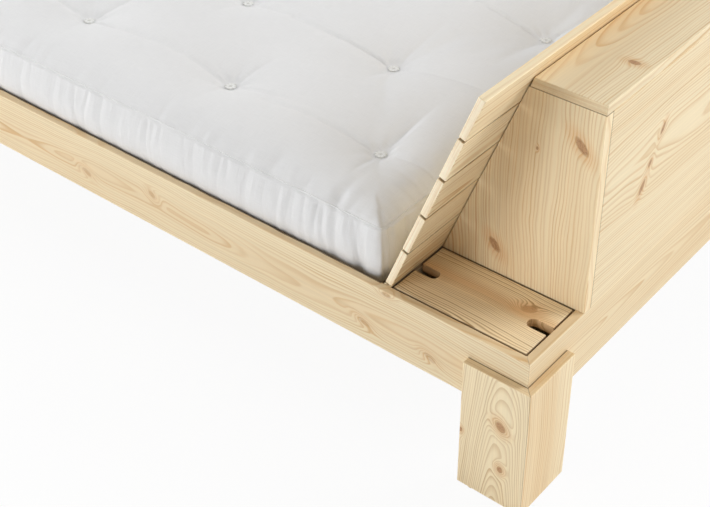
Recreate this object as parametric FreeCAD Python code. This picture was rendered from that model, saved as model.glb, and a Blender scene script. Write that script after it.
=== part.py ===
import FreeCAD, Part
import math
import os

from FreeCAD import Vector

# A pine double bed whose headboard is a shallow chest behind a leaning slatted backrest, with a
# lidded compartment beside each end of it. A tufted futon mattress lies in the frame.
# X runs across the bed, Y from the foot to the head and Z up, in millimetres. The origin is on
# the floor under the middle of the bed. Right means +X, as seen from the foot.

# Mattress
mattress_width = 1600.0
mattress_length = 2000.0
mattress_seam_height = 150.0
mattress_corner_radius = 32.0
mattress_bottom_round = 58.0
mattress_bottom_inset = 22.0
mattress_belly_height = 80.0
mattress_seam_inset = 10.0
crown_height = 26.0
crown_run = 320.0
crown_steps = 4
mattress_side_gap = 5.0
mattress_end_gap = 5.0
mattress_seat_gap = 0.3

# Sewn tufts
tuft_rows = 5
tufts_per_row = 5
tuft_side_margin = 200.0
tuft_end_margin = 162.0
tuft_rise_over_seam = 2.0
tuft_seat_radius = 14.0
tuft_dimple_radius = 150.0
tuft_dimple_rim = 4.0
dimple_bend_out = 0.36
dimple_bend_up = 0.66
tuft_button_radius = 11.0
tuft_button_height = 5.0
# Hand-sewn tufts that stand off their even places, by row and place in the row
tuft_drift = {(2, 4): (23.0, 7.0), (3, 2): (9.0, 1.0), (3, 3): (30.0, 28.0),
              (4, 2): (-5.0, -18.0), (4, 3): (2.0, 12.0), (4, 4): (4.0, 0.0)}

# Frame boards
leg_height = 310.0
leg_board_width = 145.0
leg_thickness = 18.0
leg_top_drop = 52.0
rail_height = 145.0
rail_thickness = 18.0
partition_thickness = 18.0
edge_round = 1.5
mitre_groove_size = 0.7

# Glides under the legs
glide_height = 3.0
glide_radius = 7.5
glide_end_inset = 28.0

# Head bays and their lids
bay_length = 302.0
bay_width = 160.0
bay_floor_thickness = 4.0
bay_floor_inset = 8.0
lid_thickness = 18.0
lid_gap = 3.5
lid_edge_round = 2.0
lid_seat_gap = 0.2
lid_slot_width = 26.0
lid_slot_length = 48.0
lid_rest_size = 15.0
lid_rest_end_gap = 1.0

# Headboard chest
headboard_height = 445.0
end_panel_thickness = 20.0
end_panel_front_gap = 2.0
rib_thickness = 20.0
back_panel_thickness = 18.0
top_board_thickness = 20.0
top_front_gap = 3.0
back_batten_height = 40.0
back_batten_thickness = 20.0
backrest_lean = 21.3
backrest_slat_count = 5
backrest_slat_width = 98.0
backrest_slat_gap = 5.6
backrest_slat_thickness = 15.5
backrest_slat_end_gap = 1.0
backrest_slat_round = 2.0
slat_cleat_width = 25.0
slat_cleat_thickness = 20.0
slat_cleat_foot = 8.0
slat_cleat_head_gap = 12.0

# Slatted base
bed_slat_count = 13
bed_slat_width = 90.0
bed_slat_thickness = 18.0
bed_slat_side_gap = 5.0
bed_slat_top_drop = 40.0
ledger_width = 20.0
ledger_height = 40.0
ledger_end_gap = 1.0
ledger_screw_count = 5
ledger_screw_lift = 13.0
partition_block_size = 20.0
partition_block_height = 72.0
beam_thickness = 30.0
beam_height = 60.0
beam_seat_half_width = 40.0
beam_seat_thickness = 20.0
beam_seat_screw_offset = 25.0
centre_leg_width = 95.0
centre_leg_thickness = 18.0
centre_leg_top_drop = 20.0
centre_leg_count = 2
centre_leg_bolt_offset = 25.0

# Corner brackets and fasteners
bracket_thickness = 2.5
bracket_leg = 45.0
bracket_height = 80.0
bracket_bottom_lift = 15.0
bracket_bolt_inset = 27.0
bracket_bolt_margin = 20.0
bolt_radius = 4.0
bolt_length = 32.5
bolt_head_radius = 7.0
bolt_head_height = 4.5
screw_radius = 2.0
screw_length = 30.0
screw_head_radius = 4.0
screw_head_height = 2.5
hole_clearance = 0.2

# Levels and planes worked out from the sizes above
frame_top = leg_height + leg_top_drop
rail_bottom = frame_top - rail_height
side_in = mattress_width / 2 + mattress_side_gap
side_out = side_in + rail_thickness
well_length = mattress_length + 2 * mattress_end_gap
frame_length = well_length + partition_thickness + bay_length + 2 * rail_thickness
head_out = frame_length / 2
head_in = head_out - rail_thickness
partition_head = head_in - bay_length
partition_foot = partition_head - partition_thickness
foot_out = -frame_length / 2
foot_in = foot_out + rail_thickness
end_panel_out = side_in - bay_width
end_panel_in = end_panel_out - end_panel_thickness
top_of_headboard = frame_top + headboard_height
under_top_board = top_of_headboard - top_board_thickness
bed_slat_top = frame_top - bed_slat_top_drop
bed_slat_bottom = bed_slat_top - bed_slat_thickness
lid_bottom = frame_top - lid_thickness
lean_slope = math.tan(math.radians(backrest_lean))

X = Vector(1, 0, 0)
Y = Vector(0, 1, 0)
Z = Vector(0, 0, 1)
ORIGIN = Vector(0, 0, 0)

nodes = {}
screws = []
bolts = []


# Helpers
def block(x_range, y_range, z_range):
    """A box between three pairs of limits."""
    low = Vector(x_range[0], y_range[0], z_range[0])
    size = Vector(x_range[1], y_range[1], z_range[1]) - low
    return Part.makeBox(size.x, size.y, size.z, low)


def prism(points, along):
    """A closed outline of points, carried along a vector."""
    return Part.Face(Part.makePolygon(points + points[:1])).extrude(along)


def plan_prism(outline, z_range):
    """An outline in X and Y, raised between two levels."""
    points = [Vector(x, y, z_range[0]) for x, y in outline]
    return prism(points, Z * (z_range[1] - z_range[0]))


def side_prism(outline, x_range):
    """An outline in Y and Z, carried across between two X limits."""
    points = [Vector(x_range[0], y, z) for y, z in outline]
    return prism(points, X * (x_range[1] - x_range[0]))


def eased(shape, radius=edge_round, along=None):
    """The shape with its straight edges rounded, or only those that run along one axis."""
    edges = []
    for edge in shape.Edges:
        direction = edge.tangentAt(edge.FirstParameter)
        if along is None or abs(direction.dot(along)) > 0.999:
            edges.append(edge)
    return shape.makeFillet(radius, edges)


def mirrored_x(shape):
    return shape.mirror(ORIGIN, X)


def mirrored_y(shape):
    return shape.mirror(ORIGIN, Y)


def leaned(shape):
    """Leans a shape modelled upright at the origin back onto the line where the backrest stands."""
    turned = shape.copy()
    turned.rotate(ORIGIN, X, -backrest_lean)
    turned.translate(Vector(0, partition_head, frame_top))
    return turned


def leaned_point(x, y, z):
    turn = FreeCAD.Rotation(X, -backrest_lean)
    return turn.multVec(Vector(x, y, z)) + Vector(0, partition_head, frame_top)


def screw_solid(at, into, clearance=0.0):
    """A countersunk screw whose head is flush at a point."""
    head = Part.makeCone(screw_head_radius + clearance, screw_radius + clearance,
                         screw_head_height, at, into)
    shank = Part.makeCylinder(screw_radius + clearance, screw_length - screw_head_height + clearance,
                              at + into * screw_head_height, into)
    return head.fuse(shank).removeSplitter()


def drive_screw(at, into, *names):
    """Adds one screw and its hole in each named piece."""
    hole = screw_solid(at, into, hole_clearance)
    for name in names:
        nodes[name] = nodes[name].cut(hole)
    screws.append(screw_solid(at, into))


def drive_bolt(at, into, *names):
    """Adds one bolt whose head stands on the surface, and its hole in each named piece."""
    hole = Part.makeCylinder(bolt_radius + hole_clearance, bolt_length + hole_clearance, at, into)
    for name in names:
        nodes[name] = nodes[name].cut(hole)
    head = Part.makeCylinder(bolt_head_radius, bolt_head_height, at, into * -1)
    shank = Part.makeCylinder(bolt_radius, bolt_length, at, into)
    bolts.append(head.fuse(shank))


def spread(count, low, high):
    """Evenly spaced places from the first limit to the second."""
    step = (high - low) / (count - 1)
    return [low + step * i for i in range(count)]


def mitre_groove(inner, outer, z):
    """A square bar on edge that leaves a fine V along the top of a mitre."""
    start = Vector(inner[0], inner[1], z)
    along = Vector(outer[0], outer[1], z) - start
    side = along.cross(Z).normalize() * mitre_groove_size
    up = Z * mitre_groove_size
    start -= along / 4
    return prism([start + side, start + up, start - side, start - up], along * 1.5)


# Rails, mitred at the corners
def make_rails():
    level = (rail_bottom, frame_top)
    side = [(side_out, foot_out), (side_out, head_out), (side_in, head_in), (side_in, foot_in)]
    head = [(-side_out, head_out), (side_out, head_out), (side_in, head_in), (-side_in, head_in)]
    groove = mitre_groove((side_in, head_in), (side_out, head_out), frame_top)
    side_rail = eased(plan_prism(side, level), along=Y)
    head_rail = eased(plan_prism(head, level), along=X)
    nodes["side_rail_right"] = side_rail.cut(groove).cut(mirrored_y(groove))
    nodes["side_rail_left"] = mirrored_x(nodes["side_rail_right"])
    nodes["head_rail"] = head_rail.cut(groove).cut(mirrored_x(groove))
    nodes["foot_rail"] = mirrored_y(nodes["head_rail"])
    partition = block((-side_in, side_in), (partition_foot, partition_head), level)
    nodes["partition_board"] = eased(partition, along=X)


# Legs, each two mitred boards wrapped round a corner of the frame
def make_legs():
    level = (glide_height, leg_height)
    leg_x = side_out + leg_thickness
    leg_y = head_out + leg_thickness
    end_x = leg_x - leg_board_width
    end_y = leg_y - leg_board_width
    side = [(side_out, head_out), (leg_x, leg_y), (leg_x, end_y), (side_out, end_y)]
    end = [(side_out, head_out), (leg_x, leg_y), (end_x, leg_y), (end_x, head_out)]
    groove = mitre_groove((side_out, head_out), (leg_x, leg_y), leg_height)
    side_board = eased(plan_prism(side, level), along=Y).cut(groove)
    end_board = eased(plan_prism(end, level), along=X).cut(groove)
    nodes["leg_head_right_side"] = side_board
    nodes["leg_head_right_end"] = end_board
    nodes["leg_head_left_side"] = mirrored_x(side_board)
    nodes["leg_head_left_end"] = mirrored_x(end_board)
    nodes["leg_foot_right_side"] = mirrored_y(side_board)
    nodes["leg_foot_right_end"] = mirrored_y(end_board)
    nodes["leg_foot_left_side"] = mirrored_y(nodes["leg_head_left_side"])
    nodes["leg_foot_left_end"] = mirrored_y(nodes["leg_head_left_end"])
    mid_x = side_out + leg_thickness / 2
    mid_y = head_out + leg_thickness / 2
    places = [(mid_x, y) for y in (end_y + glide_end_inset, leg_y - glide_end_inset)]
    places += [(x, mid_y) for x in (end_x + glide_end_inset, leg_x - glide_end_inset)]
    return [(sx * x, sy * y) for x, y in places for sx in (1, -1) for sy in (1, -1)]


# Steel corner brackets, bolted through the rails into the leg boards
def make_corners():
    low = rail_bottom + bracket_bottom_lift
    level = (low, low + bracket_height)
    inner_x = side_in - bracket_thickness
    inner_y = head_in - bracket_thickness
    outline = [(side_in, head_in), (side_in, head_in - bracket_leg), (inner_x, head_in - bracket_leg),
               (inner_x, inner_y), (side_in - bracket_leg, inner_y), (side_in - bracket_leg, head_in)]
    bracket = plan_prism(outline, level)
    nodes["corner_brackets"] = Part.makeCompound([
        bracket, mirrored_x(bracket), mirrored_y(bracket), mirrored_y(mirrored_x(bracket))])
    heights = (level[0] + bracket_bolt_margin, level[1] - bracket_bolt_margin)
    for end, sy in (("head", 1), ("foot", -1)):
        for side, sx in (("right", 1), ("left", -1)):
            for z in heights:
                at_side = Vector(sx * inner_x, sy * (head_in - bracket_bolt_inset), z)
                at_end = Vector(sx * (side_in - bracket_bolt_inset), sy * inner_y, z)
                leg = "leg_" + end + "_" + side
                drive_bolt(at_side, X * sx, "corner_brackets", "side_rail_" + side, leg + "_side")
                drive_bolt(at_end, Y * sy, "corner_brackets", end + "_rail", leg + "_end")


# Slatted base on two ledgers and a centre beam
def make_base():
    ledger_foot = foot_in + bracket_leg + ledger_end_gap
    ledger_head = partition_foot - partition_block_size - ledger_end_gap
    ledger_in = side_in - ledger_width
    ledger_level = (bed_slat_bottom - ledger_height, bed_slat_bottom)
    ledger = block((ledger_in, side_in), (ledger_foot, ledger_head), ledger_level)
    nodes["ledger_right"] = ledger
    nodes["ledger_left"] = mirrored_x(ledger)
    block_in = side_in - partition_block_size
    block_foot = partition_foot - partition_block_size
    block_low = bed_slat_bottom - ledger_end_gap - partition_block_height
    block_level = (block_low, block_low + partition_block_height)
    corner = block((block_in, side_in), (block_foot, partition_foot), block_level)
    nodes["partition_blocks"] = Part.makeCompound([corner, mirrored_x(corner)])
    beam_level = (bed_slat_bottom - beam_height, bed_slat_bottom)
    beam_x = (-beam_thickness / 2, beam_thickness / 2)
    nodes["centre_beam"] = block(beam_x, (foot_in, partition_foot), beam_level)
    seat_x = (-beam_seat_half_width, beam_seat_half_width)
    seat_level = (rail_bottom, beam_level[0])
    foot_seat = (foot_in, foot_in + beam_seat_thickness)
    head_seat = (partition_foot - beam_seat_thickness, partition_foot)
    seats = [block(seat_x, seat_y, seat_level) for seat_y in (foot_seat, head_seat)]
    nodes["beam_seats"] = Part.makeCompound(seats)

    slat_x = side_in - bed_slat_side_gap
    starts = spread(bed_slat_count, ledger_foot, ledger_head - bed_slat_width)
    for i, start in enumerate(starts):
        name = "bed_slat_%02d" % (i + 1)
        slat = block((-slat_x, slat_x), (start, start + bed_slat_width), (bed_slat_bottom, bed_slat_top))
        nodes[name] = eased(slat, along=X)
        for side, sx in (("right", 1), ("left", -1)):
            at = Vector(sx * (side_in - ledger_width / 2), start + bed_slat_width / 2, bed_slat_top)
            drive_screw(at, Z * -1, name, "ledger_" + side)

    ledger_screws = spread(ledger_screw_count, ledger_foot + bed_slat_width, ledger_head - bed_slat_width)
    block_heights = spread(4, block_level[0] + ledger_screw_lift, block_level[1] - ledger_screw_lift)
    block_x = side_in - partition_block_size / 2
    block_y = partition_foot - partition_block_size / 2
    for side, sx in (("right", 1), ("left", -1)):
        for y in ledger_screws:
            at = Vector(sx * ledger_in, y, ledger_level[0] + ledger_screw_lift)
            drive_screw(at, X * sx, "ledger_" + side, "side_rail_" + side)
        for z in block_heights[0::3]:
            drive_screw(Vector(sx * block_in, block_y, z), X * sx, "partition_blocks", "side_rail_" + side)
        for z in block_heights[1:3]:
            drive_screw(Vector(sx * block_x, block_foot, z), Y, "partition_blocks", "partition_board")
    seat_middle = sum(seat_level) / 2
    for sx in (1, -1):
        x = sx * beam_seat_screw_offset
        drive_screw(Vector(x, foot_seat[1], seat_middle), Y * -1, "beam_seats", "foot_rail")
        drive_screw(Vector(x, head_seat[0], seat_middle), Y, "beam_seats", "partition_board")


# Centre legs, lapped on the side of the beam
def make_centre_legs():
    glides = []
    near = beam_thickness / 2
    far = near + centre_leg_thickness
    top = bed_slat_bottom - centre_leg_top_drop
    bolt_z = (top + bed_slat_bottom - beam_height) / 2
    places = spread(centre_leg_count + 2, foot_in, partition_foot)[1:-1]
    for i, y in enumerate(places):
        name = "centre_leg_%d" % (i + 1)
        half = centre_leg_width / 2
        nodes[name] = block((near, far), (y - half, y + half), (glide_height, top))
        for offset in (-centre_leg_bolt_offset, centre_leg_bolt_offset):
            drive_bolt(Vector(far, y + offset, bolt_z), X * -1, name, "centre_beam")
            glides.append(((near + far) / 2, y + offset))
    return glides


def make_glides(places):
    glides = [Part.makeCylinder(glide_radius, glide_height, Vector(x, y, 0)) for x, y in places]
    nodes["leg_glides"] = Part.makeCompound(glides)


# Headboard chest: two end panels and a rib carry the back, the top and the leaning slats
def make_headboard():
    front_top = partition_head + (under_top_board - frame_top) * lean_slope
    inside = [(partition_head, rail_bottom), (head_in, rail_bottom)]
    front = [(front_top, under_top_board), (partition_head, frame_top)]
    end_front = [(y + end_panel_front_gap, z) for y, z in front] + front[-1:]
    end_back = [(head_in, frame_top), (head_out, frame_top), (head_out, under_top_board)]
    end_outline = inside + end_back + end_front
    nodes["end_panel_right"] = side_prism(end_outline, (end_panel_in, end_panel_out))
    nodes["end_panel_left"] = mirrored_x(nodes["end_panel_right"])
    back_in = head_out - back_panel_thickness
    chest_back = min(back_in, head_in)
    rib_outline = [inside[0], (chest_back, rail_bottom), (chest_back, under_top_board)] + front
    nodes["centre_rib"] = side_prism(rib_outline, (-rib_thickness / 2, rib_thickness / 2))
    back = block((-end_panel_in, end_panel_in), (back_in, head_out), (frame_top, under_top_board))
    nodes["back_panel"] = eased(back, along=Z)
    top_rise = top_board_thickness * lean_slope
    top_low = front_top + top_front_gap
    top_outline = [(top_low, under_top_board), (head_out, under_top_board),
                   (head_out, top_of_headboard), (top_low + top_rise, top_of_headboard)]
    nodes["top_board"] = eased(side_prism(top_outline, (-end_panel_out, end_panel_out)))
    for side, sx in (("right", 1), ("left", -1)):
        name = "back_batten_" + side
        batten = block((rib_thickness / 2, end_panel_in), (chest_back - back_batten_thickness, chest_back),
                       (frame_top - back_batten_height / 2, frame_top + back_batten_height / 2))
        nodes[name] = batten if sx > 0 else mirrored_x(batten)
        for x in spread(4, rib_thickness / 2, end_panel_in)[1:-1]:
            at = Vector(sx * x, chest_back - back_batten_thickness, frame_top)
            drive_screw(at - Z * back_batten_height / 4, Y, name, "head_rail")
            drive_screw(at + Z * back_batten_height / 4, Y, name, "back_panel")


# Leaning backrest slats, screwed from behind through cleats
def make_backrest():
    pitch = backrest_slat_width + backrest_slat_gap
    half = side_in - backrest_slat_end_gap
    lows = [i * pitch for i in range(backrest_slat_count)]
    for i, low in enumerate(lows):
        slat = block((-half, half), (-backrest_slat_thickness, 0), (low, low + backrest_slat_width))
        nodes["backrest_slat_%d" % (i + 1)] = leaned(eased(slat, backrest_slat_round))
    lean_height = (under_top_board - frame_top) / math.cos(math.radians(backrest_lean))
    cleat_head = lean_height - slat_cleat_head_gap - slat_cleat_thickness * lean_slope
    cleat_depth = (0, slat_cleat_thickness)
    cleat_height = (slat_cleat_foot, cleat_head)
    cleat_starts = (-end_panel_in, rib_thickness / 2, end_panel_in - slat_cleat_width)
    nodes["slat_cleats"] = Part.makeCompound([
        leaned(block((x, x + slat_cleat_width), cleat_depth, cleat_height)) for x in cleat_starts])
    forward = leaned_point(0, -1, 0) - leaned_point(0, 0, 0)
    for x in cleat_starts:
        for i, low in enumerate(lows):
            z = low + min(backrest_slat_width, cleat_head - low) / 2
            at = leaned_point(x + slat_cleat_width / 2, slat_cleat_thickness, z)
            drive_screw(at, forward, "slat_cleats", "backrest_slat_%d" % (i + 1))


# Head bays: a floor screwed on from below, rests inside and a loose lid with two finger slots
def make_bays():
    floor_level = (rail_bottom - bay_floor_thickness, rail_bottom)
    floor = block((end_panel_in, side_out - bay_floor_inset),
                  (partition_foot + bay_floor_inset, head_out - bay_floor_inset), floor_level)
    nodes["bay_floor_right"] = floor
    nodes["bay_floor_left"] = mirrored_x(floor)
    rest_top = lid_bottom - lid_seat_gap
    rest_y = (partition_head + lid_rest_end_gap, head_in - lid_rest_end_gap)
    rest_z = (rest_top - lid_rest_size, rest_top)
    outer = block((side_in - lid_rest_size, side_in), rest_y, rest_z)
    inner = block((end_panel_out, end_panel_out + lid_rest_size), rest_y, rest_z)
    nodes["lid_rest_outer_right"] = outer
    nodes["lid_rest_inner_right"] = inner
    nodes["lid_rest_outer_left"] = mirrored_x(outer)
    nodes["lid_rest_inner_left"] = mirrored_x(inner)
    lid = make_lid()
    nodes["lid_right"] = lid
    nodes["lid_left"] = mirrored_x(lid)

    middle_x = (end_panel_out + side_in) / 2
    middle_y = (partition_head + head_in) / 2
    for side, sx in (("right", 1), ("left", -1)):
        floor_name = "bay_floor_" + side
        places = {"side_rail_" + side: (side_in + rail_thickness / 2, middle_y),
                  "end_panel_" + side: ((end_panel_in + end_panel_out) / 2, middle_y),
                  "head_rail": (middle_x, head_in + rail_thickness / 2),
                  "partition_board": (middle_x, partition_foot + partition_thickness / 2)}
        for name, (x, y) in places.items():
            drive_screw(Vector(sx * x, y, floor_level[0]), Z, floor_name, name)
        for y in spread(4, *rest_y)[1:-1]:
            z = sum(rest_z) / 2
            at = Vector(sx * (side_in - lid_rest_size), y, z)
            drive_screw(at, X * sx, "lid_rest_outer_" + side, "side_rail_" + side)
            at = Vector(sx * (end_panel_out + lid_rest_size), y, z)
            drive_screw(at, X * -sx, "lid_rest_inner_" + side, "end_panel_" + side)


def make_lid():
    """A board with rounded edges and a slot, open at the board's end, in the middle of each end."""
    x_range = (end_panel_out + lid_gap, side_in - lid_gap)
    y_range = (partition_head + lid_gap, head_in - lid_gap)
    lid = eased(block(x_range, y_range, (lid_bottom, frame_top)), lid_edge_round)
    middle = sum(x_range) / 2
    radius = lid_slot_width / 2
    for end, inward in ((y_range[0], 1), (y_range[1], -1)):
        stop = end + inward * (lid_slot_length - radius)
        slot_x = (middle - radius, middle + radius)
        slot_y = sorted((end - inward * lid_gap, stop))
        straight = block(slot_x, slot_y, (lid_bottom, frame_top))
        round_end = Part.makeCylinder(radius, lid_thickness, Vector(middle, stop, lid_bottom))
        lid = lid.cut(straight.fuse(round_end).removeSplitter())
    return lid


# Mattress: drawn in at its seams, crowned, with a dimple at each sewn tuft
def rounded_rectangle(inset, z):
    """A closed outline of four lines and four quarter arcs round the mattress, drawn in by an inset."""
    middle_y = foot_in + mattress_end_gap + mattress_length / 2
    half_x = mattress_width / 2 - inset
    half_y = mattress_length / 2 - inset
    radius = mattress_corner_radius
    corners = ((1, 1, 0), (-1, 1, 90), (-1, -1, 180), (1, -1, 270))
    arcs = []
    for sx, sy, start in corners:
        centre = Vector(sx * (half_x - radius), middle_y + sy * (half_y - radius), z)
        turns = [math.radians(start + part) for part in (0, 45, 90)]
        points = [centre + Vector(math.cos(turn), math.sin(turn), 0) * radius for turn in turns]
        arcs.append(Part.Arc(*points).toShape())
    edges = []
    for i, arc in enumerate(arcs):
        following = arcs[(i + 1) % len(arcs)]
        edges += [arc, Part.makeLine(arc.Vertexes[-1].Point, following.Vertexes[0].Point)]
    return Part.Wire(edges)


def tuft_places():
    """Rows along the length, every other row one tuft shorter and half a step along."""
    middle_y = foot_in + mattress_end_gap + mattress_length / 2
    reach_x = mattress_width / 2 - tuft_side_margin
    reach_y = mattress_length / 2 - tuft_end_margin
    along = spread(tufts_per_row, middle_y - reach_y, middle_y + reach_y)
    between = [(a + b) / 2 for a, b in zip(along, along[1:])]
    places = []
    for row, x in enumerate(spread(tuft_rows, -reach_x, reach_x)):
        for place, y in enumerate(between if row % 2 else along):
            drift_x, drift_y = tuft_drift.get((row, place), (0, 0))
            places.append((x + drift_x, y + drift_y))
    return places


def make_mattress():
    low = bed_slat_top + mattress_seat_gap
    seam = low + mattress_seam_height
    sections = [(mattress_bottom_inset, low), (0, low + mattress_bottom_round),
                (0, low + mattress_belly_height), (mattress_seam_inset, seam)]
    for step in range(1, crown_steps + 1):
        part = step / crown_steps
        rise = crown_height * (1 - (1 - part) ** 2)
        sections.append((mattress_seam_inset + crown_run * part, seam + rise))
    mattress = Part.makeLoft([rounded_rectangle(inset, z) for inset, z in sections], True, True)

    seat = seam + tuft_rise_over_seam
    rim = seam + crown_height + tuft_dimple_rim
    inner = Vector(tuft_seat_radius, 0, seat)
    outer = Vector(tuft_dimple_radius, 0, rim)
    bend = inner + Vector((outer.x - inner.x) * dimple_bend_out, 0, (rim - seat) * dimple_bend_up)
    outline = [Part.makeLine(Vector(0, 0, seat), inner), Part.Arc(inner, bend, outer).toShape(),
               Part.makeLine(outer, Vector(0, 0, rim)), Part.makeLine(Vector(0, 0, rim), Vector(0, 0, seat))]
    dimple = Part.Face(Part.Wire(outline)).revolve(ORIGIN, Z, 360)
    button = eased(Part.makeCylinder(tuft_button_radius, tuft_button_height, Vector(0, 0, seat)))
    dimples = []
    buttons = []
    for x, y in tuft_places():
        for pattern, copies in ((dimple, dimples), (button, buttons)):
            copy = pattern.copy()
            copy.translate(Vector(x, y, 0))
            copies.append(copy)
    nodes["mattress"] = mattress.cut(Part.makeCompound(dimples))
    nodes["tuft_buttons"] = Part.makeCompound(buttons)


def build():
    make_rails()
    glide_places = make_legs()
    make_corners()
    make_base()
    glide_places += make_centre_legs()
    make_glides(glide_places)
    make_headboard()
    make_backrest()
    make_bays()
    make_mattress()
    nodes["frame_bolts"] = Part.makeCompound(bolts)
    nodes["wood_screws"] = Part.makeCompound(screws)
    os.makedirs("parts", exist_ok=True)
    for name, shape in nodes.items():
        whole = shape.Solids[0] if len(shape.Solids) == 1 else shape
        whole.exportStep("parts/" + name + ".step")
    print(len(nodes), "nodes,", len(screws), "screws,", len(bolts), "bolts")


build()
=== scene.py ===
"""A pale pine storage bed with a tufted cotton futon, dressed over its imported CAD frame.

Metres, in the CAD frame: X across the bed, Y from the foot to the head, Z up.
"""
import math
from typing import NamedTuple

import bmesh
import bpy
import numpy as np
from bpy.props import FloatProperty, FloatVectorProperty, IntProperty, PointerProperty
from mathutils import Matrix, Vector


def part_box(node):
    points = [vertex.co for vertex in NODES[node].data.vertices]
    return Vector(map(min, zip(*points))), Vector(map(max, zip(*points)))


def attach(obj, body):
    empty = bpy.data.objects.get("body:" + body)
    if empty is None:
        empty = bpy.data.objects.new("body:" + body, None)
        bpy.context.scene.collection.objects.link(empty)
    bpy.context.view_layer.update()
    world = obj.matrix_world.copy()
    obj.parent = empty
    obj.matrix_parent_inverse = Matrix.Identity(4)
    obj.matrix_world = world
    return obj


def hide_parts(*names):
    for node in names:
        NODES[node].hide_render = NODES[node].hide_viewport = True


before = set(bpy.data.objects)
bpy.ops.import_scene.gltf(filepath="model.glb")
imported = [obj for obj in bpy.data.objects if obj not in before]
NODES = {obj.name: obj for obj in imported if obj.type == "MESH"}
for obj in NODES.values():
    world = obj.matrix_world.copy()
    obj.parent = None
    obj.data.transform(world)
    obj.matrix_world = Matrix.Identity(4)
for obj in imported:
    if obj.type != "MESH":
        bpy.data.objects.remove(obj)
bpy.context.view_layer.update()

bl_info = {
    "name": "Storage bed finishes",
    "version": (1, 0, 0),
    "blender": (4, 5, 0),
    "location": "View3D > Sidebar > Bed",
    "description": "Pine, cotton and fittings for a storage bed with a tufted futon",
    "category": "Object",
}

MATTRESS_BODY = "mattress"
KNOTS_PER_BOARD = 5
TAU = 2 * math.pi


def srgb(red, green, blue):
    """Linear colour of an 8-bit display colour."""
    shares = [value / 255 for value in (red, green, blue)]
    return tuple(s / 12.92 if s <= 0.04045 else ((s + 0.055) / 1.055) ** 2.4 for s in shares)


# Settings


def colour_prop(name, description, default):
    """A colour setting."""
    return FloatVectorProperty(
        name=name, description=description, default=default, subtype="COLOR", size=3, min=0, max=1
    )


def length_prop(name, description, default):
    """A length setting in metres."""
    return FloatProperty(name=name, description=description, default=default, unit="LENGTH", precision=4)


def power_prop(name, description, default):
    """A lamp's power in watts."""
    return FloatProperty(name=name, description=description, default=default, unit="POWER")


class PineSettings(bpy.types.PropertyGroup):
    """Colours and figure of the pine boards."""

    pale: colour_prop("Early wood", "Pale wood between the growth lines", srgb(242, 225, 190))
    tan: colour_prop("Late wood", "Tan of the growth lines", srgb(213, 174, 120))
    halo: colour_prop("Knot halo", "Warm wood round a knot", srgb(218, 172, 118))
    knot: colour_prop("Knot", "Heart of a knot", srgb(188, 146, 106))
    bark: colour_prop("Knot rim", "Dark rim of a knot", srgb(158, 114, 78))
    sawn: colour_prop("Sawn end", "Brown of the sawn ends", srgb(198, 164, 114))
    planed: colour_prop("Planed end", "Pale cream of the backrest's planed ends", srgb(255, 245, 222))
    # Painted shade in the joints: a dark brown mixed in where shade falls between parts
    dust: colour_prop("Gap", "Dust and shade in the joints", srgb(96, 70, 44))
    ring_width: length_prop("Ring width", "Distance between growth lines in the log", 0.0056)
    roughness: FloatProperty(name="Roughness", description="Sanded bare wood", default=0.55, min=0, max=1)


class FittingSettings(bpy.types.PropertyGroup):
    """Finishes of the hardware, the compartment floors and the glides."""

    zinc: colour_prop("Zinc", "Passivated zinc on steel", srgb(188, 192, 194))
    veneer: colour_prop("Veneer", "Birch face of the plywood", srgb(232, 211, 174))
    glue_line: colour_prop("Glue line", "Darker plies on the plywood edge", srgb(164, 124, 82))
    glide: colour_prop("Glide felt", "Felt under the legs", srgb(214, 198, 168))


class MattressSettings(bpy.types.PropertyGroup):
    """Form and cloth of the futon."""

    cotton: colour_prop("Cotton", "Natural white cover", srgb(236, 236, 236))
    felt: colour_prop("Tuft felt", "Washer under each tuft's thread", srgb(240, 240, 238))
    thread: colour_prop("Thread", "Sewing thread", srgb(226, 225, 220))
    cell: length_prop("Cell", "Side of a cloth cell before subdivision", 1 / 60)
    corner_radius: length_prop("Corner radius", "Plan radius of the corners", 0.014)
    seam_height: length_prop("Seam height", "Top seam above the slats", 0.150)
    crown: length_prop("Crown", "Rise of the top panel over the seam", 0.024)
    crown_run: length_prop("Crown run", "Distance over which the top panel rises", 0.2)
    tuft_reach: length_prop("Tuft reach", "Radius of the hollow round a tuft", 0.15)
    swell_cap: length_prop("Swell cap", "Furthest that the filling pushes the cover", 0.012)
    fold_depth: length_prop("Fold depth", "Depth of the creases at the tufts", 0.010)
    pucker_depth: length_prop("Pucker depth", "Depth of the puckers round a tuft", 0.0012)
    gather_depth: length_prop("Gather depth", "Depth of the gathers along the border", 0.0038)
    fill: FloatProperty(name="Fill", description="From slack to tight", default=0.75, min=0, max=1)
    pressure: FloatProperty(name="Pressure", description="Cloth pressure of the filling", default=4.0)
    steps: IntProperty(name="Steps", description="Frames of cloth simulation", default=20, min=1)


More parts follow.
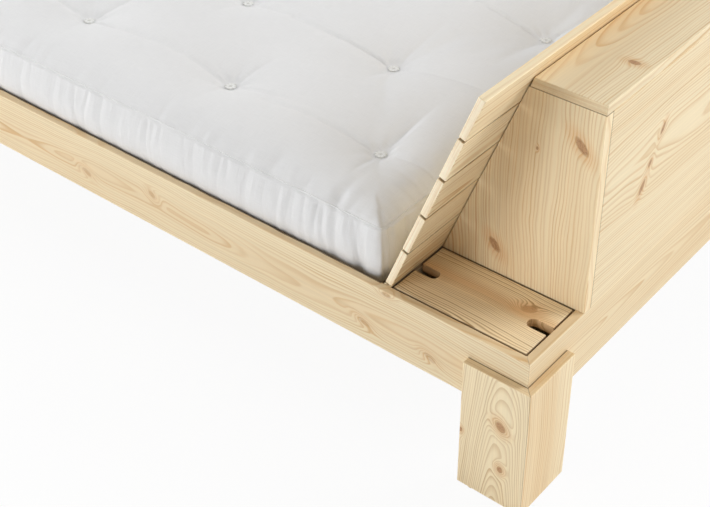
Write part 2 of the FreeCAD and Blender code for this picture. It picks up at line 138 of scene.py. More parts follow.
class StageSettings(bpy.types.PropertyGroup):
    """Floor, light and camera."""

    floor: colour_prop("Floor", "Pale floor", srgb(246, 246, 246))
    sky: FloatProperty(name="Sky", description="Strength of the even light all round", default=0.25)
    head: power_prop("Head", "Power of the high softbox behind the head", 462.0)
    back: power_prop("Back", "Power of the low softbox behind the head", 276.0)
    side: power_prop("Side", "Power of the softbox at the right", 122.0)
    foot: power_prop("Foot", "Power of the softbox beyond the foot", 204.0)
    top: power_prop("Top", "Power of the softbox overhead", 29.0)
    lens: FloatProperty(name="Lens", description="Focal length", default=71.684, unit="CAMERA")
    shift: FloatVectorProperty(name="Shift", description="Lens shift", default=(0.0, -0.06), size=2)
    place: FloatVectorProperty(
        name="Camera", description="Camera place", default=(2.4111, 2.1056, 2.0440), size=3, unit="LENGTH"
    )
    turn: FloatVectorProperty(
        name="Camera turn",
        description="Camera turn about X, Y and Z",
        default=tuple(math.radians(a) for a in (53.450, 0.438, 129.265)),
        size=3,
        subtype="EULER",
    )


# Node helpers


class Net:
    """Short calls that add nodes to one tree and hand back their output sockets."""

    def __init__(self, tree):
        self.tree = tree

    def node(self, kind, **settings):
        """A new node of a kind, with its settings."""
        made = self.tree.nodes.new(kind)
        for name, value in settings.items():
            setattr(made, name, value)
        return made

    def put(self, socket, value):
        """Feeds a socket from another socket, or sets its value."""
        if isinstance(value, bpy.types.NodeSocket):
            self.tree.links.new(value, socket)
        elif value is not None:
            four = hasattr(socket.default_value, "__len__") and len(socket.default_value) == 4
            socket.default_value = (*value, 1.0) if four and len(value) == 3 else value

    def math(self, operation, *values, clamp=False):
        """A Math node."""
        made = self.node("ShaderNodeMath", operation=operation, use_clamp=clamp)
        for socket, value in zip(made.inputs, values):
            self.put(socket, value)
        return made.outputs[0]

    def add(self, first, *others):
        """The sum of values."""
        for other in others:
            first = self.math("ADD", first, other)
        return first

    def times(self, first, *others):
        """The product of values."""
        for other in others:
            first = self.math("MULTIPLY", first, other)
        return first

    def minus(self, first, second):
        """The difference of two values."""
        return self.math("SUBTRACT", first, second)

    def over(self, first, second):
        """The quotient of two values."""
        return self.math("DIVIDE", first, second)

    def bell(self, distance, steepness=1.0):
        """One at no distance, and e to minus its square times the steepness elsewhere."""
        return self.math("EXPONENT", self.times(distance, distance, -steepness))

    def scale(self, vector, factor):
        """A vector or a colour times a value."""
        made = self.node("ShaderNodeVectorMath", operation="SCALE")
        self.put(made.inputs[0], vector)
        self.put(made.inputs["Scale"], factor)
        return made.outputs["Vector"]

    def vector(self, operation, *values):
        """A Vector Math node, with its vector or value output."""
        made = self.node("ShaderNodeVectorMath", operation=operation)
        for socket, value in zip(made.inputs, values):
            self.put(socket, value)
        single = operation in ("LENGTH", "DOT_PRODUCT", "DISTANCE")
        return made.outputs["Value" if single else "Vector"]

    def split(self, vector):
        """The three parts of a vector."""
        made = self.node("ShaderNodeSeparateXYZ")
        self.put(made.inputs[0], vector)
        return made.outputs[0], made.outputs[1], made.outputs[2]

    def join(self, *parts):
        """A vector of three parts."""
        made = self.node("ShaderNodeCombineXYZ")
        for socket, value in zip(made.inputs, parts):
            self.put(socket, value)
        return made.outputs[0]

    def step(self, value, low, high, start=0.0, end=1.0):
        """Start up to low, end from high, and a smooth S between them."""
        made = self.node("ShaderNodeMapRange", interpolation_type="SMOOTHSTEP")
        for socket, given in zip(made.inputs, (value, low, high, start, end)):
            self.put(socket, given)
        return made.outputs[0]

    def noise(self, vector, scale=1.0, detail=2.0, roughness=0.5):
        """Noise about 0.5 at a place."""
        made = self.node("ShaderNodeTexNoise")
        given = {"Vector": vector, "Scale": scale, "Detail": detail, "Roughness": roughness}
        for name, value in given.items():
            self.put(made.inputs[name], value)
        return made.outputs[0]

    def mix(self, share, first, second):
        """A colour between two others."""
        made = self.node("ShaderNodeMix", data_type="RGBA")
        self.put(made.inputs[0], share)
        self.put(made.inputs[6], first)
        self.put(made.inputs[7], second)
        return made.outputs[2]

    def group(self, tree, **values):
        """A group node. Underscores in the names stand for spaces."""
        made = self.node("ShaderNodeGroup", node_tree=tree)
        for name, value in values.items():
            self.put(made.inputs[name.replace("_", " ")], value)
        return made.outputs


def new_group(name, inputs, outputs):
    """An empty shader node group with named sockets: its net, its inputs and its output node."""
    tree = bpy.data.node_groups.new(name, "ShaderNodeTree")
    for socket_name, kind in inputs:
        tree.interface.new_socket(socket_name, in_out="INPUT", socket_type="NodeSocket" + kind)
    for socket_name, kind in outputs:
        tree.interface.new_socket(socket_name, in_out="OUTPUT", socket_type="NodeSocket" + kind)
    net = Net(tree)
    return net, net.node("NodeGroupInput").outputs, net.node("NodeGroupOutput").inputs


# Least size of a knot, its reach along and across the grain in sizes, and how it moves the growth lines
LEAST_KNOT = 0.0005
KNOT_REACH = (4.2, 2.1)
KNOT_BEND = -0.72
KNOT_RISE = 3.4
KNOT_VALUES = ("Place", "Size", "Turn", "Aspect")


def knot_group():
    """One branch through a board: a leaning ellipse with a heart, a rim and a warm halo.

    The distance q is 1 on the ellipse, which is longer than wide by the aspect. Bend moves the
    growth lines aside, as water goes round a stone, and Rise lifts the ring count so that some
    lines close round the knot.
    """
    net, given, out = new_group(
        "pine knot",
        [("Point", "Vector"), ("Place", "Vector")] + [(name, "Float") for name in KNOT_VALUES[1:]],
        [(name, "Float") for name in ("Bend", "Rise", "Heart", "Rim", "Halo")],
    )

    def ellipse(along, across, length, width):
        """Distance from the middle that is 1 on an ellipse of two radii."""
        return net.vector("LENGTH", net.join(net.over(along, length), net.over(across, width), 0.0))

    there = net.math("GREATER_THAN", given["Size"], LEAST_KNOT)
    size = net.math("MAXIMUM", given["Size"], LEAST_KNOT)
    aspect = net.math("MAXIMUM", given["Aspect"], 1.0)
    away = net.vector("MULTIPLY", net.vector("SUBTRACT", given["Point"], given["Place"]), (1, 1, 0))
    turned = net.node("ShaderNodeVectorRotate", rotation_type="Z_AXIS")
    net.put(turned.inputs["Vector"], away)
    net.put(turned.inputs["Angle"], given["Turn"])
    along, across, _ = net.split(turned.outputs[0])
    ragged = net.minus(net.noise(given["Point"], 90.0, 2.0), 0.5)
    q = net.add(ellipse(along, across, net.times(size, aspect), size), net.times(ragged, 0.3))
    grain_u, grain_v, _ = net.split(away)
    flow = net.bell(ellipse(grain_u, grain_v, *(net.times(size, reach) for reach in KNOT_REACH)))
    parts = {
        "Bend": net.times(grain_v, flow, KNOT_BEND),
        "Rise": net.times(net.bell(q, 0.22), KNOT_RISE),
        "Heart": net.step(q, 0.7, 1.1, 1.0, 0.0),
        "Rim": net.step(net.math("ABSOLUTE", net.minus(q, 0.95)), 0.0, 0.25, 1.0, 0.0),
        "Halo": net.step(q, 0.9, 3.4, 1.0, 0.0),
    }
    for name, value in parts.items():
        net.put(out[name], net.times(value, there))
    return net.tree


FIGURE_VALUES = ("Lean", "Seed", "Ring Width", "Waver", "Swirl", "Tone", "End Face", "Sawn Share",
                 "Sawn Line", "Edge", "Gap", "Warm", "Heart Share", "Mark")
PINE_COLOURS = ("pale", "tan", "halo", "knot", "bark", "sawn", "dust")
# Where a seed moves the noises
SEED_WAY = (3.1, 5.7, 2.3)
# How often the noises of the figure change along, across and through the board, per metre
PATCHES = (2.2, 14.0, 14.0)
SAW_MARKS = (0.0, 9.0, 420.0)
FIBRE = (26.0, 900.0, 900.0)
STREAK = (4.0, 160.0, 160.0)
TINT = (0.9, 7.0, 7.0)


class Wave(NamedTuple):
    """A wave in the growth lines: its turns along and across the grain, its detail and its reach."""

    along: float
    across: float
    detail: float
    reach: float


ACROSS_WAVES = (Wave(1.3, 6.0, 1.0, 0.034), Wave(4.5, 13.0, 1.0, 0.011), Wave(11.0, 34.0, 2.0, 0.0036))
THROUGH_WAVE = Wave(2.9, 9.0, 1.0, 0.028)


def figure_group(knots):
    """Pine cut from a log: growth rings about a leaning pith line, bent by noise and by knots.

    Point has the grain along x, the board's width along y and its thickness along z. The ring
    count is the distance from the pith over the ring width. Its fraction rises slowly through the
    pale early wood to the tan late wood and drops sharply at the next year. Sawn ends have fine
    lines across the board instead.
    """
    inputs = [(name, "Vector") for name in ("Point", "Pith", "Band")]
    inputs += [(name, "Float") for name in FIGURE_VALUES]
    inputs += [(name.capitalize(), "Color") for name in PINE_COLOURS]
    for k in range(KNOTS_PER_BOARD):
        inputs += [(f"{name} {k}", "Vector" if name == "Place" else "Float") for name in KNOT_VALUES]
    net, given, out = new_group(
        "pine figure", inputs, [("Color", "Color"), ("Roughness", "Float"), ("Height", "Float")]
    )
    u, v, w = net.split(given["Point"])
    seed = net.scale(SEED_WAY, given["Seed"])

    def figure_noise(stretch, detail=2.0):
        """Noise drawn out along the grain, about zero."""
        place = net.vector("ADD", net.vector("MULTIPLY", given["Point"], stretch), seed)
        return net.minus(net.noise(place, 1.0, detail), 0.5)

    def waved(start, wave):
        """A length moved by a wave, as far as the board's waver lets it."""
        noise = figure_noise((wave.along, wave.across, wave.across), wave.detail)
        return net.add(start, net.times(noise, wave.reach, given["Waver"]))

    bend, rise, heart, rim, halo = 0.0, 0.0, 0.0, 0.0, 0.0
    for k in range(KNOTS_PER_BOARD):
        its = {name: given[f"{name} {k}"] for name in KNOT_VALUES}
        knot = net.group(knots, Point=given["Point"], **its)
        bend = net.add(knot["Bend"], bend)
        rise = net.add(knot["Rise"], rise)
        heart = net.math("MAXIMUM", knot["Heart"], heart)
        rim = net.math("MAXIMUM", knot["Rim"], rim)
        halo = net.math("MAXIMUM", knot["Halo"], halo)
    heart, rim, halo = (net.times(mask, given["Heart Share"]) for mask in (heart, rim, halo))

    pith_v, pith_w, _ = net.split(given["Pith"])
    v_log = net.add(net.minus(v, pith_v), bend)
    for wave in ACROSS_WAVES:
        v_log = waved(v_log, wave)
    w_log = waved(net.add(net.minus(w, pith_w), net.times(u, given["Lean"])), THROUGH_WAVE)
    radius = net.vector("LENGTH", net.join(0.0, v_log, w_log))
    rings = net.add(net.over(radius, given["Ring Width"]), net.times(rise, given["Swirl"]))
    uneven = net.noise(net.join(net.add(net.times(rings, 0.55), given["Seed"]), 0.0, 0.0), 1.0)
    rings = net.add(rings, net.times(uneven, 1.5))
    year = net.math("FRACT", rings)
    late = net.times(net.step(year, 0.34, 0.84), net.step(year, 0.86, 0.99, 1.0, 0.0))
    each = net.node("ShaderNodeTexWhiteNoise", noise_dimensions="1D")
    net.put(each.inputs["W"], net.add(net.math("FLOOR", rings), given["Seed"]))
    strong = net.math("MULTIPLY_ADD", each.outputs[0], 0.62, 0.38)
    patchy = net.step(figure_noise(PATCHES), -0.22, 0.2, 0.55, 1.0)
    line = net.times(late, strong, patchy)
    saw_line = net.times(net.step(figure_noise(SAW_MARKS), -0.12, 0.22), given["Sawn Line"])
    line = net.add(line, net.times(net.minus(saw_line, line), given["End Face"]))
    fibre = figure_noise(FIBRE)
    streak = figure_noise(STREAK, 3.0)
    tint = figure_noise(TINT, 1.0)

    base = net.mix(net.times(given["End Face"], given["Sawn Share"]), given["Pale"], given["Sawn"])
    colour = net.mix(line, base, given["Tan"])
    colour = net.mix(net.step(tint, -0.1, 0.35, 0.0, 0.42), colour, given["Tan"])
    colour = net.mix(net.times(halo, net.math("MULTIPLY_ADD", late, 0.3, 0.42)), colour, given["Halo"])
    speckle = net.noise(given["Point"], 260.0, 3.0, 0.7)
    core = net.mix(net.step(speckle, 0.42, 0.68), given["Knot"], given["Bark"])
    colour = net.mix(net.times(heart, 0.9), colour, core)
    colour = net.mix(net.times(rim, 0.3), colour, given["Bark"])
    middle, width, redness = net.split(given["Band"])
    off = net.over(net.minus(v_log, net.minus(middle, pith_v)), width)
    colour = net.mix(net.times(net.bell(off), redness), colour, given["Halo"])
    # Tan mixed in by the Warm share: painted shade on the rails' tops
    colour = net.mix(given["Warm"], colour, given["Tan"])
    # Painted shade: the joints' dark brown, mixed in by the gap mask
    colour = net.mix(given["Gap"], colour, given["Dust"])
    marked = net.times(line, net.minus(1.0, heart), given["Mark"])
    shade = net.minus(net.add(net.times(fibre, 0.10), net.times(streak, 0.16)), marked)
    # Up to 6 % lighter near the arrises: wear and a painted highlight of the rounded edges
    worn_and_highlit = net.math("MULTIPLY_ADD", given["Edge"], 0.06, 1.0)
    shade = net.times(net.add(shade, 1.0), given["Tone"], worn_and_highlit)
    net.put(out["Color"], net.scale(colour, shade))
    rough = net.add(net.times(late, -0.07), net.times(fibre, 0.12), net.times(heart, -0.1))
    net.put(out["Roughness"], rough)
    height = net.add(net.times(late, 0.5), net.times(fibre, 0.6), net.times(rim, -0.8))
    net.put(out["Height"], height)
    return net.tree


def edge_group():
    """How near a point is to an arris of its board: the second smallest of its three depths."""
    net, given, out = new_group(
        "rubbed edge", [("Point", "Vector"), ("Half Size", "Vector")], [("Edge", "Float")]
    )
    depth = net.vector("SUBTRACT", given["Half Size"], net.vector("ABSOLUTE", given["Point"]))
    a, b, c = net.split(depth)
    low, high = net.math("MINIMUM", a, b), net.math("MAXIMUM", a, b)
    second = net.math("MAXIMUM", low, net.math("MINIMUM", high, c))
    uneven = net.times(net.noise(given["Point"], 40.0), 0.002)
    net.put(out["Edge"], net.step(net.minus(second, uneven), 0.0002, 0.0026, 1.0, 0.0))
    return net.tree


def weave_group():
    """Plain weave: warp and weft waves that pass over and under each other, with thick slubs."""
    net, given, out = new_group("cotton weave", [("Place", "Vector"), ("Pitch", "Float")],
                                [("Height", "Float"), ("Tone", "Float")])
    x, y, _ = net.split(given["Place"])
    warp = net.math("SINE", net.over(net.times(x, TAU), given["Pitch"]))
    weft = net.math("SINE", net.over(net.times(y, TAU), given["Pitch"]))
    long_slub = net.noise(net.vector("MULTIPLY", given["Place"], (35.0, 900.0, 1.0)), 1.0, 2.0)
    wide_slub = net.noise(net.vector("MULTIPLY", given["Place"], (900.0, 35.0, 1.0)), 1.0, 2.0)
    slub = net.minus(net.add(long_slub, wide_slub), 1.0)
    net.put(out["Height"], net.add(net.times(warp, weft), net.times(slub, 2.0)))
    cloud = net.minus(net.noise(given["Place"], 5.0, 2.0), 0.5)
    net.put(out["Tone"], net.add(net.times(slub, 0.10), net.times(cloud, 0.05)))
    return net.tree


def shared_group(name, make):
    """A node group, made at its first use."""
    return bpy.data.node_groups.get(name) or make()


def new_material(name):
    """A material with a Principled shader: its net and the shader's sockets."""
    material = bpy.data.materials.new(name)
    material.use_nodes = True
    net = Net(material.node_tree)
    shader = material.node_tree.nodes["Principled BSDF"].inputs
    return material, net, shader


def bump(net, shader, height, distance, strength):
    """Feeds the shader's normal from a height."""
    made = net.node("ShaderNodeBump")
    made.inputs["Distance"].default_value = distance
    made.inputs["Strength"].default_value = strength
    net.put(made.inputs["Height"], height)
    net.put(shader["Normal"], made.outputs[0])


def dress(node, material):
    """Puts one material on a CAD node."""
    mesh = NODES[node].data
    mesh.materials.clear()
    mesh.materials.append(material)


# Pine boards

LEAN = math.radians(21.3)
SLOPE = Matrix.Rotation(-LEAN, 3, "X")
SLAT = "backrest_slat"
TOP_SLAT = "backrest_slat_5"
# Half of a slat's width and of its thickness
SLAT_HALF = (0.049, 0.00775)
RAILS = ("side_rail", "head_rail", "foot_rail")
TIMBER_STARTS = (*RAILS, "partition", "leg_head", "leg_foot", "ledger", "centre_", "beam_", "bed_slat",
                 "end_panel", "back_", "top_board", SLAT, "slat_cleats", "lid_")
GRAIN_AXES = {"partition_blocks": 2, "beam_seats": 0, "slat_cleats": 2}
# Share of tan mixed into the rails' upward faces: painted shade on their tops
RAIL_TOP_SHADE = 0.38
# Share of the end's own colour, and strength of the lines on it
SAWN = {SLAT: (0.55, 0.45), "top_board": (0.1, 0.5), "": (0.4, 0.6)}


class Figure(NamedTuple):
    """How a board was cut: the pith across and behind its middle, the pith's lean, the seed, and
    knots as (along, across, size, turn, aspect), lengths in metres and turns in degrees. The band
    is a redder stripe as (across, width, share). Ring, waver and swirl scale the distance of the
    growth lines, their waviness and their closing round knots, and tone the whole colour. Heart is
    the share of the knots' own colour, and mark darkens the growth lines."""

    pith: tuple
    lean: float
    seed: float
    knots: list
    band: tuple = (0.0, 1.0, 0.0)
    ring: float = 1.0
    waver: float = 1.0
    swirl: float = 1.0
    tone: float = 1.0
    heart: float = 1.0
    mark: float = 0.0


# Boards that the photograph shows
FIGURES = {
    "leg_head_right_side": Figure(
        pith=(0.010, -0.060), lean=0.11, seed=11.0, ring=0.58, swirl=1.7, tone=1.06, mark=0.18,
        knots=[
            (0.0447, 0.0157, 0.009, 38, 1.4),
            (-0.0626, 0.0206, 0.006, 10, 1.3),
            (-0.0134, -0.071, 0.004, 0, 1.4),
        ]),
    "leg_head_right_end": Figure(pith=(-0.09, -0.05), lean=0.03, seed=12.0, tone=1.04, knots=[]),
    "end_panel_right": Figure(
        pith=(0.300, -0.060), lean=0.05, seed=4.0, ring=1.2, waver=2.1, swirl=0.3, tone=1.1,
        knots=[
            (0.2074, 0.1194, 0.0085, 42, 2.3),
            (-0.0787, -0.0411, 0.0085, 40, 2.0),
            (0.1689, 0.0331, 0.0025, 0, 1.5),
        ]),
    "lid_right": Figure(
        pith=(0.10, -0.030), lean=0.02, seed=7.0, band=(-0.012, 0.02, 0.55),
        ring=0.75, waver=1.6, swirl=1.5, tone=1.14, mark=0.40,
        knots=[(0.0839, -0.0275, 0.0100, 20, 1.5)]),
    "top_board": Figure(
        pith=(-0.038, -0.038), lean=0.03, seed=23.0, ring=0.8, swirl=0.3,
        knots=[(0.4978, 0.038, 0.0065, 90, 1.8), (-0.21, -0.03, 0.007, 15, 1.6)]),
    "back_panel": Figure(
        pith=(0.040, -0.080), lean=0.03, seed=15.0, waver=1.3, swirl=0.5,
        knots=[
            (0.4286, 0.079, 0.005, 60, 2.4),
            (0.462, 0.0207, 0.005, 60, 1.7),
            (0.4813, -0.0216, 0.006, 60, 2.6),
            (-0.3, 0.06, 0.008, 30, 1.6),
        ]),
    "side_rail_right": Figure(
        pith=(-0.014, -0.020), lean=0.006, seed=31.0, band=(-0.014, 0.03, 0.22),
        ring=0.9, waver=1.2, heart=0.4,
        knots=[
            (0.865, 0.066, 0.005, 0, 2.2),
            (0.9698, -0.0313, 0.007, 25, 2.0),
            (0.812, -0.0288, 0.006, 20, 2.4),
            (0.238, 0.0118, 0.007, 30, 1.6),
            (0.0302, -0.0199, 0.007, 20, 2.0),
        ]),
}


def board_axes(node, sizes):
    """Columns along the grain, across the board and through it, in the bed's frame.

    The grain runs along the longest side, and the thinnest side is the thickness. The leaning
    slats and cleats have theirs turned by the lean.
    """
    grain = GRAIN_AXES.get(node, int(np.argmax(sizes)))
    if node.startswith((SLAT, "slat_cleats")):
        slope = SLOPE @ Vector((0, 0, 1))
        rows = (Vector((1, 0, 0)), slope) if grain == 0 else (slope, Vector((1, 0, 0)))
    else:
        rest = [axis for axis in range(3) if axis != grain]
        through = min(rest, key=lambda axis: sizes[axis])
        across = next(axis for axis in rest if axis != through)
        rows = tuple(Vector([float(axis == k) for k in range(3)]) for axis in (grain, across))
    first, second = rows
    return Matrix((first, second, first.cross(second))).transposed()


def board_figure(node, index, half):
    """A board's figure: that of the photograph, or one drawn from the board's own number."""
    if node in FIGURES:
        return FIGURES[node]
    draw = np.random.RandomState(100 + index)
    pith = (draw.uniform(-0.7, 0.7) * half[1], -half[2] - draw.uniform(0.025, 0.07))
    lean = draw.choice((-1, 1)) * draw.uniform(0.01, 0.05)
    count = draw.randint(0, 3) if half[0] * half[1] > 0.008 else draw.randint(0, 2)
    knots = [
        (draw.uniform(-0.85, 0.85) * half[0], draw.uniform(-0.7, 0.7) * half[1],
         draw.uniform(0.004, 0.0085), draw.uniform(-40, 40), draw.uniform(1.3, 2.4))
        for _ in range(count)
    ]
    waver = 0.6 if half[0] > 0.5 else 1.0
    tone = 1.09 if node.startswith(SLAT) else 1.0
    return Figure(pith, lean, float(index) * 1.7, knots, waver=waver, swirl=0.5, tone=tone)


# Thickness of the rails and the legs, and how much painted shade shows in each kind of joint
BOARD = 0.018
SLAT_SHADE = 0.5
LID_SHADE = 0.75
TOP_SHADE = 0.6
BACK_SHADE = 0.42
LEG_MITRE_SHADE = 0.5
RAIL_MITRE_SHADE = 0.28
LEG_TOP_SHADE = 0.85
# Painted shadow in the gap between the side rails and the mattress
MATTRESS_SHADE = 0.9
CORNER_LEG = "leg_head_right_end"


class Board(NamedTuple):
    """A board's node, axes and half sizes, its shader's coordinates, and the shaded point in its axes."""

    node: str
    axes: Matrix
    half: list
    place: object
    point: object


def height_of(net, board):
    """Height of the shaded point above the floor."""
    _, _, height = net.split(board.place["Object"])
    return height


def below_edges(net, board):
    """Depths of the shaded point below the board's ends and its long edges."""
    away = net.vector("ABSOLUTE", board.point)
    along, across, _ = net.split(net.vector("SUBTRACT", tuple(board.half), away))
    return along, across


def below_corner(net, board, side, head):
    """Depths of the shaded point below the outer faces of two nodes, the same at all four corners."""
    x, y, _ = net.split(net.vector("ABSOLUTE", board.place["Object"]))
    return net.minus(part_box(side)[1][0], x), net.minus(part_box(head)[1][1], y)


def lid_band(net, board):
    """Painted shade in a band just below the lids' tops."""
    height = height_of(net, board)
    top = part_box("lid_right")[1][2]
    rise = net.step(height, top - 0.009, top - 0.005, 0.0, LID_SHADE)
    return net.times(rise, net.step(height, top - 0.0014, top + 0.0004, 1.0, 0.0))


def mitre_gap(net, depths, share):
    """Painted shade where a board's two depths below a corner are the same, no deeper than the board is
    thick.
    """
    near = net.step(net.math("MAXIMUM", *depths), BOARD - 0.0005, BOARD + 0.0005, share, 0.0)
    off = net.math("ABSOLUTE", net.minus(*depths))
    return net.times(near, net.step(off, 0.0004, 0.0015, 1.0, 0.0))


def slat_gap(net, board):
    """Painted shade on a slat's long edges, but not on the topmost one."""
    facing = net.vector("DOT_PRODUCT", board.place["Normal"], tuple(board.axes.col[1]))
    way = net.times(facing, -1.0) if board.node == TOP_SLAT else net.math("ABSOLUTE", facing)
    return net.step(way, 0.85, 0.97, 0.0, SLAT_SHADE)


def lid_gap(net, board):
    """Painted shade round a lid's rim."""
    rim = net.step(net.math("MINIMUM", *below_edges(net, board)), 0.0005, 0.002, 1.0, 0.0)
    return net.times(rim, lid_band(net, board))


def panel_gap(net, board):
    """Painted shade beside a lid, and where a panel meets the top of the chest."""
    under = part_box("top_board")[0][2]
    line = net.step(height_of(net, board), under - 0.0022, under - 0.0008, 0.0, TOP_SHADE)
    return net.math("MAXIMUM", lid_band(net, board), line)


def back_gap(net, board):
    """Painted shade where the back meets the end panels."""
    along, _ = below_edges(net, board)
    return net.step(along, 0.0005, 0.0048, BACK_SHADE, 0.0)


def leg_gap(net, board):
    """Painted shade in a leg's mitre, and on its top beside the rails."""
    depths = below_corner(net, board, CORNER_LEG, CORNER_LEG)
    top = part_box(CORNER_LEG)[1][2]
    inner = net.step(net.math("MINIMUM", *depths), BOARD - 0.0030, BOARD - 0.0016, 0.0, LEG_TOP_SHADE)
    ledge = net.step(height_of(net, board), top - 0.003, top - 0.001)
    return net.math("MAXIMUM", mitre_gap(net, depths, LEG_MITRE_SHADE), net.times(inner, ledge))


def rail_gap(net, board):
    """Painted shade in a rail's mitre."""
    return mitre_gap(net, below_corner(net, board, "side_rail_right", "head_rail"), RAIL_MITRE_SHADE)


def side_rail_gap(net, board):
    """Painted shade in a side rail's mitre, and a painted shadow in a line of uneven width beside the
    mattress.
    """
    x, _, _ = net.split(net.vector("ABSOLUTE", board.place["Object"]))
    _, run, height = net.split(board.place["Object"])
    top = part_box("lid_right")[1][2]
    wander = net.times(net.noise(net.join(0.0, run, 0.0), 14.0, 2.0), 0.006)
    inner = net.add(net.minus(x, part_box("side_rail_right")[0][0]), wander)
    line = net.step(inner, 0.0050, 0.0062, MATTRESS_SHADE, 0.0)
    beside = net.math("LESS_THAN", run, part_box("mattress")[1][1])
    line = net.times(line, beside, net.step(height, top - 0.012, top - 0.006))
    return net.math("MAXIMUM", rail_gap(net, board), line)


# Boards with painted shade in their joints, by the starts of their names
GAPS = (
    ((SLAT,), slat_gap),
    (("lid_right", "lid_left"), lid_gap),
    (("end_panel", "partition_board"), panel_gap),
    (("back_panel",), back_gap),
    (("leg_",), leg_gap),
    (("side_rail",), side_rail_gap),
    (("head_rail", "foot_rail"), rail_gap),
)


def gap_mask(net, board):
    """How much painted shade shows at a point of a board."""
    for starts, gap in GAPS:
        if board.node.startswith(starts):
            return gap(net, board)
    return 0.0


def pine_material(node, index, settings):
    """Pine for one board, with the board's own pith, seed and knots."""
    low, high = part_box(node)
    centre, sizes = (low + high) / 2, high - low
    axes = board_axes(node, sizes)
    half = [abs(axes.col[k].dot(sizes)) / 2 for k in range(3)]
    if node.startswith(SLAT):
        half[1:] = SLAT_HALF
    figure = board_figure(node, index, half)
    sawn, sawn_line = next(values for start, values in SAWN.items() if node.startswith(start))

    material, net, shader = new_material(f"pine_{node}")
    place = net.node("ShaderNodeTexCoord").outputs
    turn = net.node("ShaderNodeMapping", vector_type="TEXTURE")
    turn.inputs["Location"].default_value = centre
    turn.inputs["Rotation"].default_value = axes.to_euler()
    net.put(turn.inputs["Vector"], place["Object"])
    board = Board(node, axes, half, place, turn.outputs[0])
    facing = net.math("ABSOLUTE", net.vector("DOT_PRODUCT", place["Normal"], tuple(axes.col[0])))
    edges_tree = shared_group("rubbed edge", edge_group)
    edge = net.group(edges_tree, Point=board.point, Half_Size=tuple(half))["Edge"]
    values = {
        "Point": board.point,
        "Pith": (*figure.pith, 0.0),
        "Band": figure.band,
        "Lean": figure.lean,
        "Seed": figure.seed,
        "Ring_Width": settings.ring_width * figure.ring,
        "Waver": figure.waver,
        "Swirl": figure.swirl,
        "Tone": figure.tone,
        "Heart_Share": figure.heart,
        "Mark": figure.mark,
        "End_Face": net.step(facing, 0.75, 0.97),
        "Sawn_Share": sawn,
        "Sawn_Line": sawn_line,
        "Edge": edge,
        "Gap": gap_mask(net, board),
    }
    # Painted shade on the rails' tops: their upward faces are mixed towards tan
    if node.startswith(RAILS):
        _, _, up = net.split(place["Normal"])
        values["Warm"] = net.step(up, 0.8, 0.97, 0.0, RAIL_TOP_SHADE)
    for name in PINE_COLOURS:
        values[name.capitalize()] = tuple(getattr(settings, name))
    if node.startswith(SLAT):
        values["Sawn"] = tuple(settings.planed)
    for k, (along, across, size, angle, aspect) in enumerate(figure.knots):
        knot = ((along, across, 0.0), size, math.radians(angle), aspect)
        values.update({f"{name}_{k}": value for name, value in zip(KNOT_VALUES, knot)})
    knots_tree = shared_group("pine knot", knot_group)
    wood = net.group(shared_group("pine figure", lambda: figure_group(knots_tree)), **values)
    net.put(shader["Base Color"], wood["Color"])
    net.put(shader["Roughness"], net.math("ADD", wood["Roughness"], settings.roughness, clamp=True))
    shader["Specular IOR Level"].default_value = 0.24
    bump(net, shader, wood["Height"], 0.0002, 0.45)
    return material


class BED_OT_pine(bpy.types.Operator):
    """Gives every pine board its own cut from the log"""

    bl_idname = "bed.pine"
    bl_label = "Pine boards"

    def execute(self, context):
        boards = sorted(node for node in NODES if node.startswith(TIMBER_STARTS))
        for index, node in enumerate(boards):
            dress(node, pine_material(node, index, context.scene.bed_pine))
        return {"FINISHED"}


# Compartment floors, hardware and glides

# Thickness of a pale and a dark ply together
PLY_PAIR = 0.003


def plywood_material(settings):
    """Birch plywood: a faint figure on the faces, and plies that change with height on the edges."""
    material, net, shader = new_material("birch_plywood")
    veneer, glue = tuple(settings.veneer), tuple(settings.glue_line)
    place = net.node("ShaderNodeTexCoord").outputs
    _, _, up = net.split(net.vector("ABSOLUTE", place["Normal"]))
    edge = net.step(up, 0.3, 0.7, 1.0, 0.0)
    figure = net.noise(net.vector("MULTIPLY", place["Object"], (60.0, 4.0, 60.0)), 1.0, 3.0)
    pore = net.noise(net.vector("MULTIPLY", place["Object"], (900.0, 40.0, 900.0)), 1.0, 2.0)
    face = net.mix(net.step(figure, 0.42, 0.66, 0.0, 0.22), veneer, glue)
    _, _, z = net.split(place["Object"])
    ply = net.math("SINE", net.times(z, TAU / PLY_PAIR))
    sides = net.mix(net.step(ply, -0.1, 0.6), veneer, glue)
    colour = net.mix(edge, face, sides)
    net.put(shader["Base Color"], net.mix(net.step(pore, 0.55, 0.75, 0.0, 0.18), colour, glue))
    net.put(shader["Roughness"], net.math("MULTIPLY_ADD", pore, 0.15, 0.5))
    bump(net, shader, pore, 0.0002, 0.3)
    return material


def zinc_material(settings):
    """Zinc plate: flat spangles of differing tone and gloss, with a fine grain and dull patches."""
    material, net, shader = new_material("zinc_plate")
    point = net.node("ShaderNodeTexCoord").outputs["Object"]
    cells = net.node("ShaderNodeTexVoronoi")
    net.put(cells.inputs["Vector"], point)
    cells.inputs["Scale"].default_value = 260.0
    spangle, _, _ = net.split(cells.outputs["Color"])
    dull = net.step(net.noise(point, 60.0, 3.0), 0.45, 0.7)
    tone = net.math("MULTIPLY_ADD", spangle, 0.22, 0.8)
    tone = net.times(tone, net.math("MULTIPLY_ADD", dull, -0.14, 1.0))
    net.put(shader["Base Color"], net.scale(tuple(settings.zinc), tone))
    rough = net.add(net.math("MULTIPLY_ADD", spangle, 0.16, 0.28), net.times(dull, 0.16))
    net.put(shader["Roughness"], rough)
    shader["Metallic"].default_value = 1.0
    bump(net, shader, net.noise(point, 700.0, 2.0), 0.0001, 0.25)
    return material


